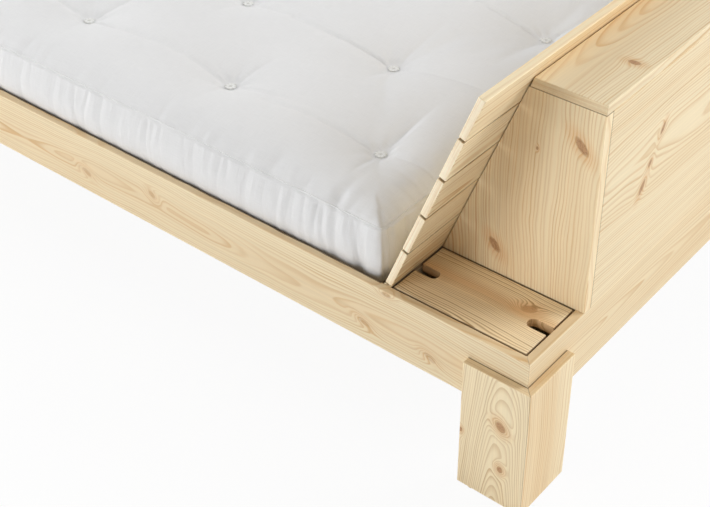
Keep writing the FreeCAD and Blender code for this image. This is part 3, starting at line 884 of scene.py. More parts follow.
def felt_material(name, colour, spread):
    """Pressed felt: matted fibres as fine noise, lighter where they stand proud."""
    material, net, shader = new_material(name)
    point = net.node("ShaderNodeTexCoord").outputs["Object"]
    matted = net.noise(point, 1400.0, 4.0, 0.7)
    cloud = net.noise(point, 220.0, 2.0)
    clouded = net.math("MULTIPLY_ADD", cloud, spread / 2, 1 - spread * 0.75)
    net.put(shader["Base Color"], net.scale(tuple(colour), net.add(net.times(matted, spread), clouded)))
    net.put(shader["Roughness"], net.math("MULTIPLY_ADD", matted, 0.1, 0.88))
    shader["Specular IOR Level"].default_value = 0.15
    shader["Sheen Weight"].default_value = 0.3
    bump(net, shader, net.add(matted, cloud), 0.0006, 0.6)
    return material


class BED_OT_fittings(bpy.types.Operator):
    """Finishes the compartment floors, the brackets, the fasteners and the glides"""

    bl_idname = "bed.fittings"
    bl_label = "Fittings"

    def execute(self, context):
        settings = context.scene.bed_fittings
        plywood = plywood_material(settings)
        for node in ("bay_floor_right", "bay_floor_left"):
            dress(node, plywood)
        zinc = zinc_material(settings)
        for node in ("corner_brackets", "frame_bolts", "wood_screws"):
            dress(node, zinc)
        dress("leg_glides", felt_material("glide_felt", settings.glide, 0.5))
        return {"FINISHED"}


# Futon

TUFT_SPACE = 0.1
TUFT_RISE = 0.002
WASHER_RADIUS = 0.0115
CLEARANCE = 0.0045
# Share of the plan, from its middle, and of the height that count as the edge and as the top
ON_EDGE = 0.4999
ON_TOP = 0.999
# How far the border leans in: all over, at the seam from the belly up, and at the slats from the tuck down
SIDE_INSET = 0.002
SEAM_INSET = 0.007
BELLY = 0.55
FOOT_INSET = 0.020
TUCK = 0.387
# Steepness and power of the bell with which a tuft pulls the top down
PULL_STEEPNESS = 1.9
PULL_POWER = 1.25
CLOTH = {
    "quality": 4,
    "mass": 0.3,
    "tension_stiffness": 15,
    "compression_stiffness": 10,
    "shear_stiffness": 5,
    "bending_stiffness": 0.6,
    "use_pressure": True,
}


def tuft_places():
    """Middles of the tufts in plan: the CAD buttons' points, gathered while they lie close together."""
    points = read_points(NODES["tuft_buttons"].data)[:, :2]
    places = []
    while len(points):
        near = np.linalg.norm(points - points[0], axis=1) < TUFT_SPACE
        places.append((points[near].min(axis=0) + points[near].max(axis=0)) / 2)
        points = points[~near]
    return np.array(sorted(map(tuple, places)))


def box_lattice(cells):
    """The top and the borders of a box of cells: grids of whole-number corners, joined at their edges."""
    quads = []
    for axis, side in ((0, 0), (0, cells[0]), (1, 0), (1, cells[1]), (2, cells[2])):
        a, b = [k for k in range(3) if k != axis]
        grid = np.stack(np.meshgrid(np.arange(cells[a]), np.arange(cells[b]), indexing="ij"), -1)
        corners = np.zeros((cells[a] * cells[b], 4, 3), int)
        corners[..., axis] = side
        corners[..., (a, b)] = grid.reshape(-1, 1, 2) + np.array([(0, 0), (1, 0), (1, 1), (0, 1)])
        inward = (side == 0) != (axis == 1)
        quads.append(corners[:, ::-1] if inward else corners)
    points, numbers = np.unique(np.concatenate(quads).reshape(-1, 3), axis=0, return_inverse=True)
    return points, numbers.reshape(-1, 4)


def futon_form(share, low, high, settings):
    """The futon before the filling swells it, from shares (s, t, h) of a box.

    The plan is a rectangle whose corner squares are mapped to quarter discs. The border leans in
    towards the seam and the slats, by powers of the height. The top panel rises over the seam
    by the crown times one minus the cube of what is left of the run to the edge, and each tuft
    pulls it down by a bell of its distance.
    """
    size = np.array([high[0] - low[0], high[1] - low[1]])
    middle = np.array([(low[0] + high[0]) / 2, (low[1] + high[1]) / 2])
    h = share[:, 2]
    flat = (share[:, :2] - 0.5) * size
    r = settings.corner_radius
    core = size / 2 - r
    over = np.clip((np.abs(flat) - core) / r, 0, 1)
    bent = over * np.sqrt(1 - over[:, ::-1] ** 2 / 2)
    plan = np.sign(flat) * (np.minimum(np.abs(flat), core) + r * bent)
    inset = SIDE_INSET + SEAM_INSET * np.clip((h - BELLY) / (1 - BELLY), 0, 1) ** 2
    inset += FOOT_INSET * np.clip((TUCK - h) / TUCK, 0, 1) ** 1.25
    plan = plan * (1 - 2 * inset[:, None] / size)
    to_edge = np.min(size / 2 - np.abs(flat), axis=1)
    left = 1 - np.clip(to_edge / settings.crown_run, 0, 1)
    rise = settings.crown * (1 - left ** 3)
    place = plan + middle
    away = np.linalg.norm(place[:, None] - tuft_places(), axis=2)
    pull = np.max(np.exp(-((away / settings.tuft_reach * PULL_STEEPNESS) ** PULL_POWER)), axis=1)
    drop = pull * (settings.crown - TUFT_RISE)
    z = low[2] + h * settings.seam_height + np.where(h == 1, rise - drop, 0.0)
    return np.column_stack([place, z]), away.min(axis=1)


def swell(piece, held, settings):
    """Runs the filling's pressure as cloth and hands back the points that it gives.

    The held points stay. Each other point's move is capped by a hyperbolic tangent.
    """
    scene = bpy.context.scene
    rest = read_points(piece.data)
    pins = piece.vertex_groups.new(name="held")
    pins.add(np.flatnonzero(held).tolist(), 1.0, "REPLACE")
    cloth = piece.modifiers.new("filling", "CLOTH")
    for name, value in CLOTH.items():
        setattr(cloth.settings, name, value)
    cloth.settings.vertex_group_mass = pins.name
    cloth.settings.uniform_pressure_force = settings.pressure
    cloth.settings.effector_weights.gravity = 0
    cloth.collision_settings.use_collision = False
    cloth.collision_settings.use_self_collision = False
    cloth.point_cache.frame_start = 1
    cloth.point_cache.frame_end = settings.steps
    for step in range(1, settings.steps + 1):
        scene.frame_set(step)
    made = piece.evaluated_get(bpy.context.evaluated_depsgraph_get())
    move = read_points(made.data) - rest
    piece.modifiers.remove(cloth)
    piece.vertex_groups.remove(pins)
    scene.frame_set(1)
    if not np.isfinite(move).all():
        raise RuntimeError("the cloth simulation of the futon failed")
    far = np.maximum(np.linalg.norm(move, axis=1), 1e-9)
    return rest + move * (settings.swell_cap * np.tanh(far / settings.swell_cap) / far)[:, None]


def row_turn(gaps, way):
    """Direction in degrees of the next tuft along the bed, or straight along it past the last one."""
    ahead = gaps[(gaps[:, 1] * way > TUFT_SPACE) & (np.abs(gaps[:, 0]) < TUFT_SPACE)]
    if not len(ahead):
        return 90.0 * way
    x, y = ahead[np.abs(ahead[:, 1]).argmin()]
    return math.degrees(math.atan2(y, x))


# Creases at a tuft: two along the bed, two across it and eight fine ones between
CREASE_FIELD = 0.3
ACROSS_TURNS = (8, 172)
FINE_TURNS = (35, 62, 118, 145, 208, 240, 300, 332)
FINE_COUNT = len(FINE_TURNS)
CREASE_SWING = 14 * np.array([0.2, 0.2] + [1.0] * (len(ACROSS_TURNS) + FINE_COUNT))
CREASE_REACH = np.array([0.25, 0.25, 0.07, 0.11] + [0.05] * FINE_COUNT)
CREASE_DEPTH = np.array([0.6, 0.75, 0.5, 0.75] + [0.45] * FINE_COUNT)
CREASE_WIDENING = np.array([0.022, 0.022, 0.05, 0.04] + [0.075] * FINE_COUNT)
CREASE_WIDTH = 0.0042
CREASE_START = 0.018
PUCKER_RADIUS = 0.024
PUCKER_WIDTH = 0.014


def tuft_creases(points, tufts, draw, settings):
    """Depth of the creases and puckers that the tufts pull into the top panel.

    Each crease is a valley with a sharp bottom, an exponential of the distance from its line, that
    widens away from the tuft, fades in over the washer and out over its length. The puckers are a
    ring of cosines of the angle.
    """
    depth = np.zeros(len(points))
    count = len(CREASE_REACH)
    for x, y in tufts:
        near = np.flatnonzero(np.hypot(points[:, 0] - x, points[:, 1] - y) < CREASE_FIELD)
        away = points[near, :2] - (x, y)
        gaps = tufts - (x, y)
        turns = np.array([row_turn(gaps, 1), row_turn(gaps, -1), *ACROSS_TURNS, *FINE_TURNS])
        turn = np.radians(turns + draw.uniform(-1, 1, count) * CREASE_SWING)
        reach = CREASE_REACH * draw.uniform(0.8, 1.25, count)
        deep = CREASE_DEPTH * draw.uniform(0.6, 1.2, count)
        along = away @ np.array([np.cos(turn), np.sin(turn)])
        bow = draw.uniform(-0.25, 0.25, count) * along ** 2
        across = away @ np.array([-np.sin(turn), np.cos(turn)]) + bow
        ahead = np.maximum(along, 0)
        width = CREASE_WIDTH + CREASE_WIDENING * ahead
        fade = np.exp(-((along / reach) ** 2)) * (1 - np.exp(-((ahead / CREASE_START) ** 2)))
        valley = deep * fade * (along > 0) * np.exp(-np.abs(across) / width)
        depth[near] += settings.fold_depth * valley.sum(axis=1)
        ring = np.exp(-(((np.hypot(*away.T) - PUCKER_RADIUS) / PUCKER_WIDTH) ** 2))
        folds = np.cos(draw.randint(8, 12) * np.arctan2(*away.T) + draw.uniform(0, TAU))
        depth[near] += settings.pucker_depth * folds * ring
    return depth


# Seat of a washer: its outer radius, and the moat's radius, width and depth
SEAT_RADIUS = 0.034
MOAT_RADIUS = 0.0150
MOAT_WIDTH = 0.0035
MOAT_DEPTH = 0.0005


def smooth(share):
    """A smooth S over shares from 0 to 1."""
    share = np.clip(share, 0, 1)
    return share * share * (3 - 2 * share)


def tuft_seats(points, tufts, seat):
    """Heights of the top panel with a flat seat under each washer and a narrow moat round it."""
    z = points[:, 2].copy()
    for x, y in tufts:
        near = np.flatnonzero(np.hypot(points[:, 0] - x, points[:, 1] - y) < SEAT_RADIUS)
        r = np.hypot(*(points[near, :2] - (x, y)).T)
        share = smooth((SEAT_RADIUS - r) / (SEAT_RADIUS - WASHER_RADIUS))
        moat = MOAT_DEPTH * np.exp(-(((r - MOAT_RADIUS) / MOAT_WIDTH) ** 2))
        z[near] += share * (seat - z[near]) - moat
    return z


FOLD_VALUES = ("centre", "width", "deep", "run", "lean")


def fold_sum(along, reach, folds):
    """Sum of bells along the seam, each leaning, widening and fading with the distance from it."""
    total = np.zeros(len(along))
    length = folds["length"]
    for centre, width, deep, run, lean in zip(*(folds[name] for name in FOLD_VALUES)):
        gap = np.abs(along - centre)
        near = np.flatnonzero(np.minimum(gap, length - gap) < 8 * width)
        away = (along[near] - centre + length / 2) % length - length / 2 + lean * reach[near]
        wide = width * (1 + 4 * reach[near])
        total[near] += deep * np.exp(-((away / wide) ** 2) - (reach[near] / run) ** 2)
    return total


def seam_run(share, size):
    """Run along the seam of the nearest point on it, the distance inside it, and the seam's length."""
    width, length, _ = size
    x, y = share[:, 0] * width, share[:, 1] * length
    gaps = np.stack([y, width - x, length - y, x])
    runs = np.stack([x, width + y, width + length + (width - x), 2 * width + length + (length - y)])
    nearest = gaps.argmin(axis=0)
    every = np.arange(len(share))
    return runs[nearest, every], gaps[nearest, every], 2 * (width + length)


# Reach of a corner along the seam
CORNER_REACH = 0.16


def gather_folds(draw, count, length, widths, runs, corners):
    """Places, widths, depths and runs of the gathers, deeper and longer near the corners."""
    centre = (np.arange(count) + draw.uniform(-0.45, 0.45, count)) * length / count
    to_corner = np.abs(centre[:, None] - corners).min(axis=1)
    close = np.exp(-((to_corner / CORNER_REACH) ** 2))
    return {
        "length": length,
        "centre": centre,
        "width": draw.uniform(*widths, count),
        "deep": draw.uniform(-0.45, 1.0, count) * (0.65 + 0.75 * close),
        "run": draw.uniform(*runs, count) * (1 + 0.6 * close),
        "lean": draw.uniform(-0.16, 0.16, count),
    }


def read_array(data, name, width, kind=np.float32):
    """Values of a mesh's points, edges, faces or corners as an array with a row for each."""
    found = np.empty(len(data) * width, kind)
    data.foreach_get(name, found)
    return found.reshape(-1, width)


def read_points(mesh, wanted="co"):
    """A mesh's points or normals as an array."""
    return read_array(mesh.vertices, wanted, 3).astype(float)


def read_share(mesh):
    """The shares of the futon's box that were kept on its cover's points."""
    return read_array(mesh.attributes["share"].data, "vector", 3).astype(float)


def write_points(mesh, points):
    """Puts an array of points back into a mesh."""
    mesh.vertices.foreach_set("co", points.astype(np.float32).ravel())
    mesh.update()


def new_piece(name, points, faces, material):
    """An object at the origin with a smooth mesh and one material."""
    mesh = bpy.data.meshes.new(name)
    mesh.from_pydata(points.tolist(), [], faces)
    mesh.polygons.foreach_set("use_smooth", np.ones(len(mesh.polygons), bool))
    mesh.materials.append(material)
    mesh.update()
    piece = bpy.data.objects.new(name, mesh)
    bpy.context.scene.collection.objects.link(piece)
    return piece


# How crisp the upright corners and the seam stay
CORNER_CRISP = 0.75
SEAM_CRISP = 0.3


def keep_edges(mesh, share):
    """Keeps the upright corners and the seam crisp when the cover is subdivided."""
    ends = read_array(mesh.edges, "vertices", 2, int)
    sides = (np.abs(share[ends] - 0.5) >= ON_EDGE).all(axis=1)
    corner = sides[:, 0] & sides[:, 1]
    seam = sides[:, 2] & sides[:, :2].any(axis=1)
    crisp = np.where(corner, CORNER_CRISP, np.where(seam, SEAM_CRISP, 0.0))
    crease = mesh.attributes.new("crease_edge", "FLOAT", "EDGE")
    crease.data.foreach_set("value", crisp.astype(np.float32))


def close_bottom(mesh):
    """Closes the open loop at the slats with one flat face that looks down."""
    form = bmesh.new()
    form.from_mesh(mesh)
    rim = [edge for edge in form.edges if edge.is_boundary]
    for face in bmesh.ops.edgeloop_fill(form, edges=rim)["faces"]:
        face.normal_update()
        if face.normal.z > 0:
            face.normal_flip()
    form.to_mesh(mesh)
    form.free()


# Weight of the upright direction in the choice of a panel
UP_WEIGHT = 1.4


def cloth_map(mesh):
    """A UV map in metres: flat panels by X and Y, borders by the run and the height."""
    points = read_points(mesh)
    corner = read_array(mesh.loops, "vertex_index", 1, int).ravel()
    normal = read_array(mesh.polygons, "normal", 3)
    sizes = read_array(mesh.polygons, "loop_total", 1, int).ravel()
    facing = np.abs(np.repeat(normal, sizes, axis=0)) * (1, 1, UP_WEIGHT)
    pick = np.array([(1, 2), (0, 2), (0, 1)])[facing.argmax(axis=1)]
    places = np.take_along_axis(points[corner], pick, axis=1)
    mesh.uv_layers.new(name="cloth").data.foreach_set("uv", places.astype(np.float32).ravel())


# Pitch of the weave, and the height and frequencies of the border's fine pleats in its bump
WEAVE_PITCH = 0.0011
PLEAT_HEIGHT = 30.0
PLEAT_WAVES = (95.0, 9.0, 1.0)


def cotton_material(name, colour):
    """Heavy cotton: plain weave with slubs, faintly clouded, with fine pleats on upright borders."""
    material, net, shader = new_material(name)
    place = net.node("ShaderNodeUVMap", uv_map="cloth").outputs[0]
    weave = net.group(shared_group("cotton weave", weave_group), Place=place, Pitch=WEAVE_PITCH)
    net.put(shader["Base Color"], net.scale(tuple(colour), net.add(weave["Tone"], 1.0)))
    net.put(shader["Roughness"], net.math("MULTIPLY_ADD", weave["Tone"], 0.5, 0.88))
    shader["Specular IOR Level"].default_value = 0.12
    shader["Sheen Weight"].default_value = 0.05
    _, _, up = net.split(net.node("ShaderNodeTexCoord").outputs["Normal"])
    border = net.step(net.math("ABSOLUTE", up), 0.35, 0.75, PLEAT_HEIGHT, 0.0)
    pleat = net.noise(net.vector("MULTIPLY", place, PLEAT_WAVES), 1.0, 2.0)
    bump(net, shader, net.math("MULTIPLY_ADD", pleat, border, weave["Height"]), 0.00025, 0.35)
    return material


# Count, widths and runs of the border's gathers and of the rolls that they leave on the top
GATHERS = (520, (0.004, 0.009), (0.08, 0.22))
ROLLS = (260, (0.006, 0.014), (0.03, 0.085))
ROLL_SHARE = 0.8
SHOULDER = 0.25
SEAM_HOLD = 0.012
SEAM_GROOVE = 0.0016
SEAM_GROOVE_WIDTH = 0.0045
SWAY = 0.0012
# Height share and run over which the rails let go of the border, its least bulge and what that gains
RAIL_SHARE = 0.22
RAIL_RUN = 0.16
LEAST_BULGE = -0.0045
BULGE_GAIN = 0.0085
BULGE_SOFTNESS = 0.0012


class BED_OT_futon(bpy.types.Operator):
    """Makes the futon's cover: its form, the swell of the filling, and the creases and gathers"""

    bl_idname = "bed.futon"
    bl_label = "Futon cover"

    def execute(self, context):
        settings = context.scene.bed_mattress
        low, high = (np.array(corner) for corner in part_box("mattress"))
        sides = (high[0] - low[0], high[1] - low[1], settings.seam_height)
        cells = [round(side / settings.cell) for side in sides]
        lattice, quads = box_lattice(cells)
        share = lattice / np.array(cells)
        points, to_tuft = futon_form(share, low, high, settings)
        cotton = cotton_material("cotton_cover", settings.cotton)
        cover = new_piece("futon_cover", points, quads.tolist(), cotton)
        kept = cover.data.attributes.new("share", "FLOAT_VECTOR", "POINT")
        kept.data.foreach_set("vector", share.astype(np.float32).ravel())
        held = (share[:, 2] == 0) | ((share[:, 2] == 1) & (to_tuft < WASHER_RADIUS))
        write_points(cover.data, swell(cover, held, settings))
        keep_edges(cover.data, share)
        finer = cover.modifiers.new("finer", "SUBSURF")
        finer.levels = finer.render_levels = 2
        with context.temp_override(object=cover):
            bpy.ops.object.modifier_apply(modifier=finer.name)
        self.crease(cover.data, low, high, settings)
        close_bottom(cover.data)
        cloth_map(cover.data)
        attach(cover, MATTRESS_BODY)
        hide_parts("mattress")
        return {"FINISHED"}

    def crease(self, mesh, low, high, settings):
        """Presses the tufts' creases, the seam and the border's gathers into the swollen cover."""
        draw = np.random.RandomState(5)
        normals, share = read_points(mesh, "normal"), read_share(mesh)
        size = high - low
        points = self.reined(read_points(mesh), share, low, high)
        on_top = share[:, 2] > ON_TOP
        top = on_top * np.clip((normals[:, 2] - 0.2) / 0.4, 0, 1)
        depth = top * tuft_creases(points, tuft_places(), draw, settings)
        run, inside, length = seam_run(share, size)
        corners = np.cumsum([0, size[0], size[1], size[0], size[1]])

        def folds(kind, where, reach):
            """Depth of one kind of fold at some points."""
            count, widths, runs = kind
            made = gather_folds(draw, count, length, widths, runs, corners)
            return settings.gather_depth * fold_sum(run[where], reach[where], made)

        below = (1 - share[:, 2]) * settings.seam_height
        border = np.flatnonzero(~on_top)
        held = 1 - 0.5 * np.exp(-((below[border] / SEAM_HOLD) ** 2))
        depth[border] += held * folds(GATHERS, border, below)
        shoulder = np.flatnonzero(on_top & (inside < SHOULDER))
        depth[shoulder] += ROLL_SHARE * folds(ROLLS, shoulder, inside)
        to_seam = np.where(on_top, inside, below)
        depth += SEAM_GROOVE * np.exp(-((to_seam / SEAM_GROOVE_WIDTH) ** 2))
        sway = np.sin(points[:, 0] * 9.1 + 1.3) * np.sin(points[:, 1] * 7.3)
        sway += np.sin(points[:, 1] * 15.7 + points[:, 0] * 4.9)
        points = points - normals * depth[:, None]
        points[:, 2] += SWAY * top * sway
        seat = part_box("tuft_buttons")[0][2]
        points[:, 2] = np.where(on_top, tuft_seats(points, tuft_places(), seat), points[:, 2])
        points[:, :2] = np.clip(points[:, :2], low[:2] - CLEARANCE, high[:2] + CLEARANCE)
        points[:, 2] = np.maximum(points[:, 2], low[2])
        write_points(mesh, points)

    def reined(self, points, share, low, high):
        """Points whose bulge over the box is held to a limit that grows with the height above the rails."""
        limit = LEAST_BULGE + BULGE_GAIN * smooth((share[:, 2:] - RAIL_SHARE) / RAIL_RUN)
        middle, half = (low + high)[:2] / 2, (high - low)[:2] / 2
        out = points[:, :2] - middle
        over = np.abs(out) - half - limit
        held = np.where(over > 0, BULGE_SOFTNESS * np.tanh(over / BULGE_SOFTNESS), over)
        return np.column_stack([middle + np.sign(out) * (half + limit + held), points[:, 2]])


def sweep(path, out, up, profile):
    """A profile carried round a closed path: each path point plus the profile's share of two directions."""
    rings = path[:, None] + profile[None, :, :1] * out[:, None] + profile[None, :, 1:] * up[:, None]
    count, around = rings.shape[:2]
    a = np.arange(count)[:, None] * around + np.arange(around)[None]
    b = np.arange(count)[:, None] * around + (np.arange(around)[None] + 1) % around
    c, d = (b + around) % (count * around), (a + around) % (count * around)
    return rings.reshape(-1, 3), np.stack([a, b, c, d], -1).reshape(-1, 4).tolist()


def evened(values):
    """A closed run of values, each averaged with its neighbours three times over."""
    for _ in range(3):
        values = (np.roll(values, 1, axis=0) + 2 * values + np.roll(values, -1, axis=0)) / 4
    return values


def unit(vectors):
    """Vectors brought to length one."""
    return vectors / np.linalg.norm(vectors, axis=-1, keepdims=True)


# Welt: the sides of its profile, the lift of its middle, its rise over that, and half of its width
WELT_SIDES = 8
WELT_LIFT = 0.0005
WELT_RISE = 0.0013
WELT_HALF = 0.0017


class BED_OT_seam(bpy.types.Operator):
    """Lays the welt of the futon's top seam on its cover"""

    bl_idname = "bed.seam"
    bl_label = "Futon seam"

    def execute(self, context):
        mesh = bpy.data.objects["futon_cover"].data
        share = read_share(mesh)
        from_middle = share[:, :2] - 0.5
        ring = np.flatnonzero((share[:, 2] > ON_TOP) & (np.abs(from_middle).max(axis=1) > ON_EDGE))
        ring = ring[np.argsort(np.arctan2(from_middle[ring, 1], from_middle[ring, 0]))]
        path = evened(read_points(mesh)[ring])
        normal = unit(evened(read_points(mesh, "normal")[ring]))
        forward = np.roll(path, -1, axis=0) - np.roll(path, 1, axis=0)
        side = unit(np.cross(forward, normal))
        turn = np.linspace(0, TAU, WELT_SIDES, endpoint=False)
        profile = np.column_stack([WELT_LIFT + WELT_RISE * np.sin(turn), WELT_HALF * np.cos(turn)])
        rings, quads = sweep(path, normal, side, profile)
        welt = new_piece("futon_seam", rings, quads, bpy.data.materials["cotton_cover"])
        cloth_map(welt.data)
        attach(welt, MATTRESS_BODY)
        return {"FINISHED"}


def capped_tube(rings, first, last):
    """Points and faces of rings joined in order, closed by a fan to a point at each end."""
    count, around = rings.shape[:2]
    here = np.arange(around)
    after = (here + 1) % around
    start = 1 + np.arange(count - 1)[:, None] * around
    quads = np.stack([start + here, start + around + here, start + around + after, start + after], -1)
    end = 1 + (count - 1) * around
    fan = np.stack([np.zeros(around, int), 1 + here, 1 + after], -1)
    closing = np.stack([np.full(around, end + around), end + after, end + here], -1)
    points = np.concatenate([[first], rings.reshape(-1, 3), [last]])
    return points, quads.reshape(-1, 4).tolist() + fan.tolist() + closing.tolist()


def join_meshes(parts):
    """Points and faces of several meshes as one."""
    faces, count = [], 0
    for points, some in parts:
        faces += [[corner + count for corner in face] for face in some]
        count += len(points)
    return np.concatenate([points for points, _ in parts]), faces


# Top of a washer as a share of the button's height, its flatness, and its hollow's depth and radius
WASHER_TOP = 0.45
WASHER_FLATNESS = 0.5
HOLLOW_DEPTH = 0.0009
HOLLOW_RADIUS = 0.006
# Stitches over a washer's rim and across its hollow: their count, inner and outer radii, and the thread
RIM_STITCHES = 8
RIM_RADII = (0.0078, 0.0142)
CROSS_RADII = (-0.005, 0.005)
STITCH_BULGE = 0.0010
THREAD_RADIUS = 0.00065


class BED_OT_tufts(bpy.types.Operator):
    """Sets a felt washer on each tuft and sews it down with thread"""

    bl_idname = "bed.tufts"
    bl_label = "Tufts"

    def execute(self, context):
        settings = context.scene.bed_mattress
        low, high = (np.array(corner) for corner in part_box("tuft_buttons"))
        draw = np.random.RandomState(9)
        places = [np.array([x, y, 0.0]) for x, y in tuft_places()]
        top = low[2] + WASHER_TOP * (high[2] - low[2])
        washers = [self.washer(place, low[2], top, draw) for place in places]
        points, faces = join_meshes(washers)
        felt = new_piece("tuft_washers", points, faces, felt_material("tuft_felt", settings.felt, 0.16))
        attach(felt, MATTRESS_BODY)
        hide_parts("tuft_buttons")
        stitches = [stitch for place in places for stitch in self.stitches(place, low[2], top, draw)]
        points, faces = join_meshes(stitches)
        thread = new_piece("tuft_thread", points, faces, felt_material("tuft_thread", settings.thread, 0.3))
        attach(thread, MATTRESS_BODY)
        return {"FINISHED"}

    def washer(self, place, bottom, top, draw):
        """A disc turned about its middle: a flattened ellipse with a hollow top and a wavy rim."""
        tilts = np.linspace(0, math.pi, 14)[1:-1]
        turns = np.linspace(0, TAU, 32, endpoint=False)
        tilt, turn = np.meshgrid(tilts, turns, indexing="ij")
        wave = 1 + 0.035 * np.sin(3 * turn + draw.uniform(0, 6))
        wave += 0.03 * np.sin(8 * turn + draw.uniform(0, 6))
        radius = WASHER_RADIUS * np.sin(tilt) ** WASHER_FLATNESS * wave
        lift = np.sign(np.cos(tilt)) * np.abs(np.cos(tilt)) ** WASHER_FLATNESS
        hollow = HOLLOW_DEPTH * np.exp(-((radius / HOLLOW_RADIUS) ** 2)) * (lift > 0)
        z = (top + bottom) / 2 + (top - bottom) / 2 * lift - hollow
        rings = place + np.stack([radius * np.cos(turn), radius * np.sin(turn), z], -1)
        return capped_tube(rings, place + (0, 0, top - HOLLOW_DEPTH), place + (0, 0, bottom))

    def stitches(self, place, bottom, top, draw):
        """Thread over the rim at even turns, and two crossed stitches in the hollow."""
        start = draw.uniform(0, TAU)
        rim_heights = (top - 0.0006, bottom - 0.0012)
        cross_heights = (top - HOLLOW_DEPTH, top - HOLLOW_DEPTH)
        turns = start + np.arange(RIM_STITCHES) * TAU / RIM_STITCHES
        made = [self.stitch(place, turn, RIM_RADII, rim_heights) for turn in turns]
        crossed = (start, start + TAU / 4)
        return made + [self.stitch(place, turn, CROSS_RADII, cross_heights) for turn in crossed]

    def stitch(self, place, turn, radii, heights):
        """One thread along a radius: a tube on a half sine between two radii and two heights."""
        s = np.linspace(0, 1, 9)
        out = np.array([math.cos(turn), math.sin(turn), 0.0])
        up = np.array([0.0, 0.0, 1.0])
        r = radii[0] + (radii[1] - radii[0]) * s
        z = heights[0] + (heights[1] - heights[0]) * s ** 2 + STITCH_BULGE * np.sin(math.pi * s)
        path = place + r[:, None] * out + z[:, None] * up
        along = unit(np.gradient(path, axis=0))
        side = np.cross(up, out)
        other = np.cross(side, along)
        angle = np.linspace(0, TAU, 6, endpoint=False)[None, :, None]
        rings = path[:, None] + THREAD_RADIUS * (np.cos(angle) * side + np.sin(angle) * other[:, None])
        return capped_tube(rings, path[0] - THREAD_RADIUS * along[0], path[-1] + THREAD_RADIUS * along[-1])


# Stage

# Reach of the floor, the share of plain white under the bed, and where that starts and stops growing to one
FLOOR_REACH = 30.0
FLOOR_WHITE = 0.93
FLOOR_FADE = (1.8, 4.5)
SENSOR_WIDTH = 36.0
WHITE = (1, 1, 1, 1)


def seen_share(net):
    """1 for camera, glossy and transmission rays, which see the plain white ground."""
    path = net.node("ShaderNodeLightPath").outputs
    some = net.math("MAXIMUM", path["Is Camera Ray"], path["Is Glossy Ray"])
    return net.math("MAXIMUM", some, path["Is Transmission Ray"])


def mix_shaders(net, share, first, second, output):
    """Feeds an output node with a mix of two shader nodes."""
    mixed = net.node("ShaderNodeMixShader")
    for socket, value in zip(mixed.inputs, (share, first.outputs[0], second.outputs[0])):
        net.put(socket, value)
    net.put(net.tree.nodes[output].inputs["Surface"], mixed.outputs[0])


def floor_material(settings):
    """A pale floor that is partly plain white to the camera, and wholly so far away, so that only
    a soft shadow shows."""
    material, net, shader = new_material("pale_floor")
    shader["Base Color"].default_value = (*settings.floor, 1.0)
    shader["Roughness"].default_value = 0.9
    shader["Specular IOR Level"].default_value = 0.0
    away = net.vector("LENGTH", net.node("ShaderNodeTexCoord").outputs["Object"])
    share = net.times(seen_share(net), net.step(away, *FLOOR_FADE, FLOOR_WHITE, 1.0))
    white = net.node("ShaderNodeEmission")
    mix_shaders(net, share, net.tree.nodes["Principled BSDF"], white, "Material Output")
    return material


def studio_world(settings):
    """Even light all round, and plain white to the camera."""
    world = bpy.data.worlds.new("studio")
    world.use_nodes = True
    net = Net(world.node_tree)
    sky = net.tree.nodes["Background"]
    sky.inputs["Color"].default_value = WHITE
    sky.inputs["Strength"].default_value = settings.sky
    white = net.node("ShaderNodeBackground")
    white.inputs["Color"].default_value = WHITE
    mix_shaders(net, seen_share(net), sky, white, "World Output")
    return world


# Place and side of each softbox
SOFTBOXES = {
    "head": ((-5.2, 6.6, 6.1), 4.2),
    "back": ((-5.5, 7.6, 3.2), 4.8),
    "side": ((5.0, -1.5, 1.8), 3.0),
    "foot": ((0.0, -6.0, 2.5), 3.0),
    "top": ((0.0, 0.0, 5.0), 3.0),
}
SOFTBOX_AIM = (0.2, 0.6, 0.5)


def softbox(name, place, side, power):
    """A square area light that faces the bed."""
    lamp = bpy.data.lights.new(name, "AREA")
    lamp.shape = "SQUARE"
    lamp.size = side
    lamp.energy = power
    holder = bpy.data.objects.new(name, lamp)
    holder.location = place
    holder.rotation_euler = (Vector(SOFTBOX_AIM) - Vector(place)).to_track_quat("-Z", "Y").to_euler()
    bpy.context.scene.collection.objects.link(holder)


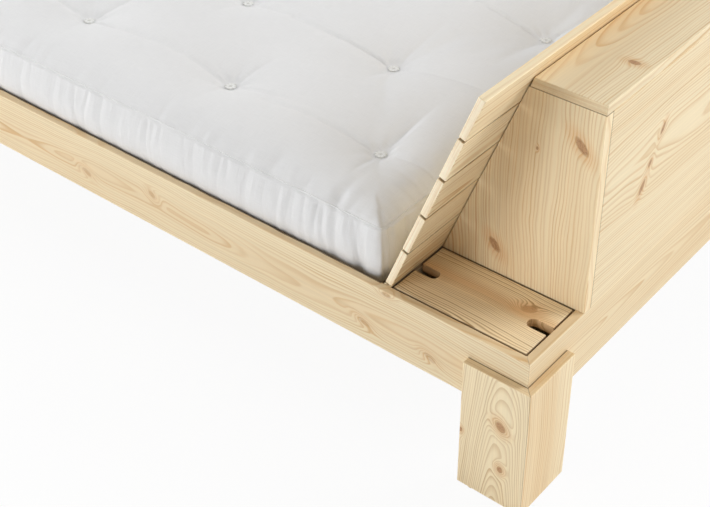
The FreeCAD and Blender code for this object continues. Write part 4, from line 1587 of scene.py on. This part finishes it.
class BED_OT_stage(bpy.types.Operator):
    """Adds the floor, the light and the camera"""

    bl_idname = "bed.stage"
    bl_label = "Stage"

    def execute(self, context):
        scene = context.scene
        settings = scene.bed_stage
        scene.view_settings.view_transform = "Standard"
        scene.world = studio_world(settings)
        corners = FLOOR_REACH * np.array([(-1, -1, 0), (1, -1, 0), (1, 1, 0), (-1, 1, 0)])
        floor = new_piece("floor", corners, [(0, 1, 2, 3)], floor_material(settings))
        for name, (place, side) in SOFTBOXES.items():
            softbox(f"{name}_softbox", place, side, getattr(settings, name))
        data = bpy.data.cameras.new("camera")
        data.lens = settings.lens
        data.sensor_width = SENSOR_WIDTH
        data.shift_x, data.shift_y = settings.shift
        camera = bpy.data.objects.new("camera", data)
        camera.location = settings.place
        camera.rotation_euler = settings.turn
        scene.collection.objects.link(camera)
        scene.camera = camera
        return {"FINISHED"}


class BED_PT_finishes(bpy.types.Panel):
    """Lists the bed's settings and operators"""

    bl_idname = "BED_PT_finishes"
    bl_label = "Storage bed"
    bl_space_type = "VIEW_3D"
    bl_region_type = "UI"
    bl_category = "Bed"

    def draw(self, context):
        for attribute, settings, operators in SECTIONS:
            box = self.layout.box()
            for name in settings.__annotations__:
                box.prop(getattr(context.scene, attribute), name)
            for operator in operators:
                box.operator(operator.bl_idname)


SECTIONS = (
    ("bed_pine", PineSettings, (BED_OT_pine,)),
    ("bed_fittings", FittingSettings, (BED_OT_fittings,)),
    ("bed_mattress", MattressSettings, (BED_OT_futon, BED_OT_seam, BED_OT_tufts)),
    ("bed_stage", StageSettings, (BED_OT_stage,)),
)


def register():
    """Registers the settings, operators and panel."""
    for attribute, settings, operators in SECTIONS:
        bpy.utils.register_class(settings)
        setattr(bpy.types.Scene, attribute, PointerProperty(type=settings))
        for operator in operators:
            bpy.utils.register_class(operator)
    bpy.utils.register_class(BED_PT_finishes)


def unregister():
    """Takes the settings, operators and panel away again."""
    bpy.utils.unregister_class(BED_PT_finishes)
    for attribute, settings, operators in reversed(SECTIONS):
        for operator in operators:
            bpy.utils.unregister_class(operator)
        delattr(bpy.types.Scene, attribute)
        bpy.utils.unregister_class(settings)


def main():
    """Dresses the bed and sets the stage."""
    register()
    bpy.ops.bed.pine()
    bpy.ops.bed.fittings()
    bpy.ops.bed.futon()
    bpy.ops.bed.seam()
    bpy.ops.bed.tufts()
    bpy.ops.bed.stage()


if __name__ == "__main__":
    main()
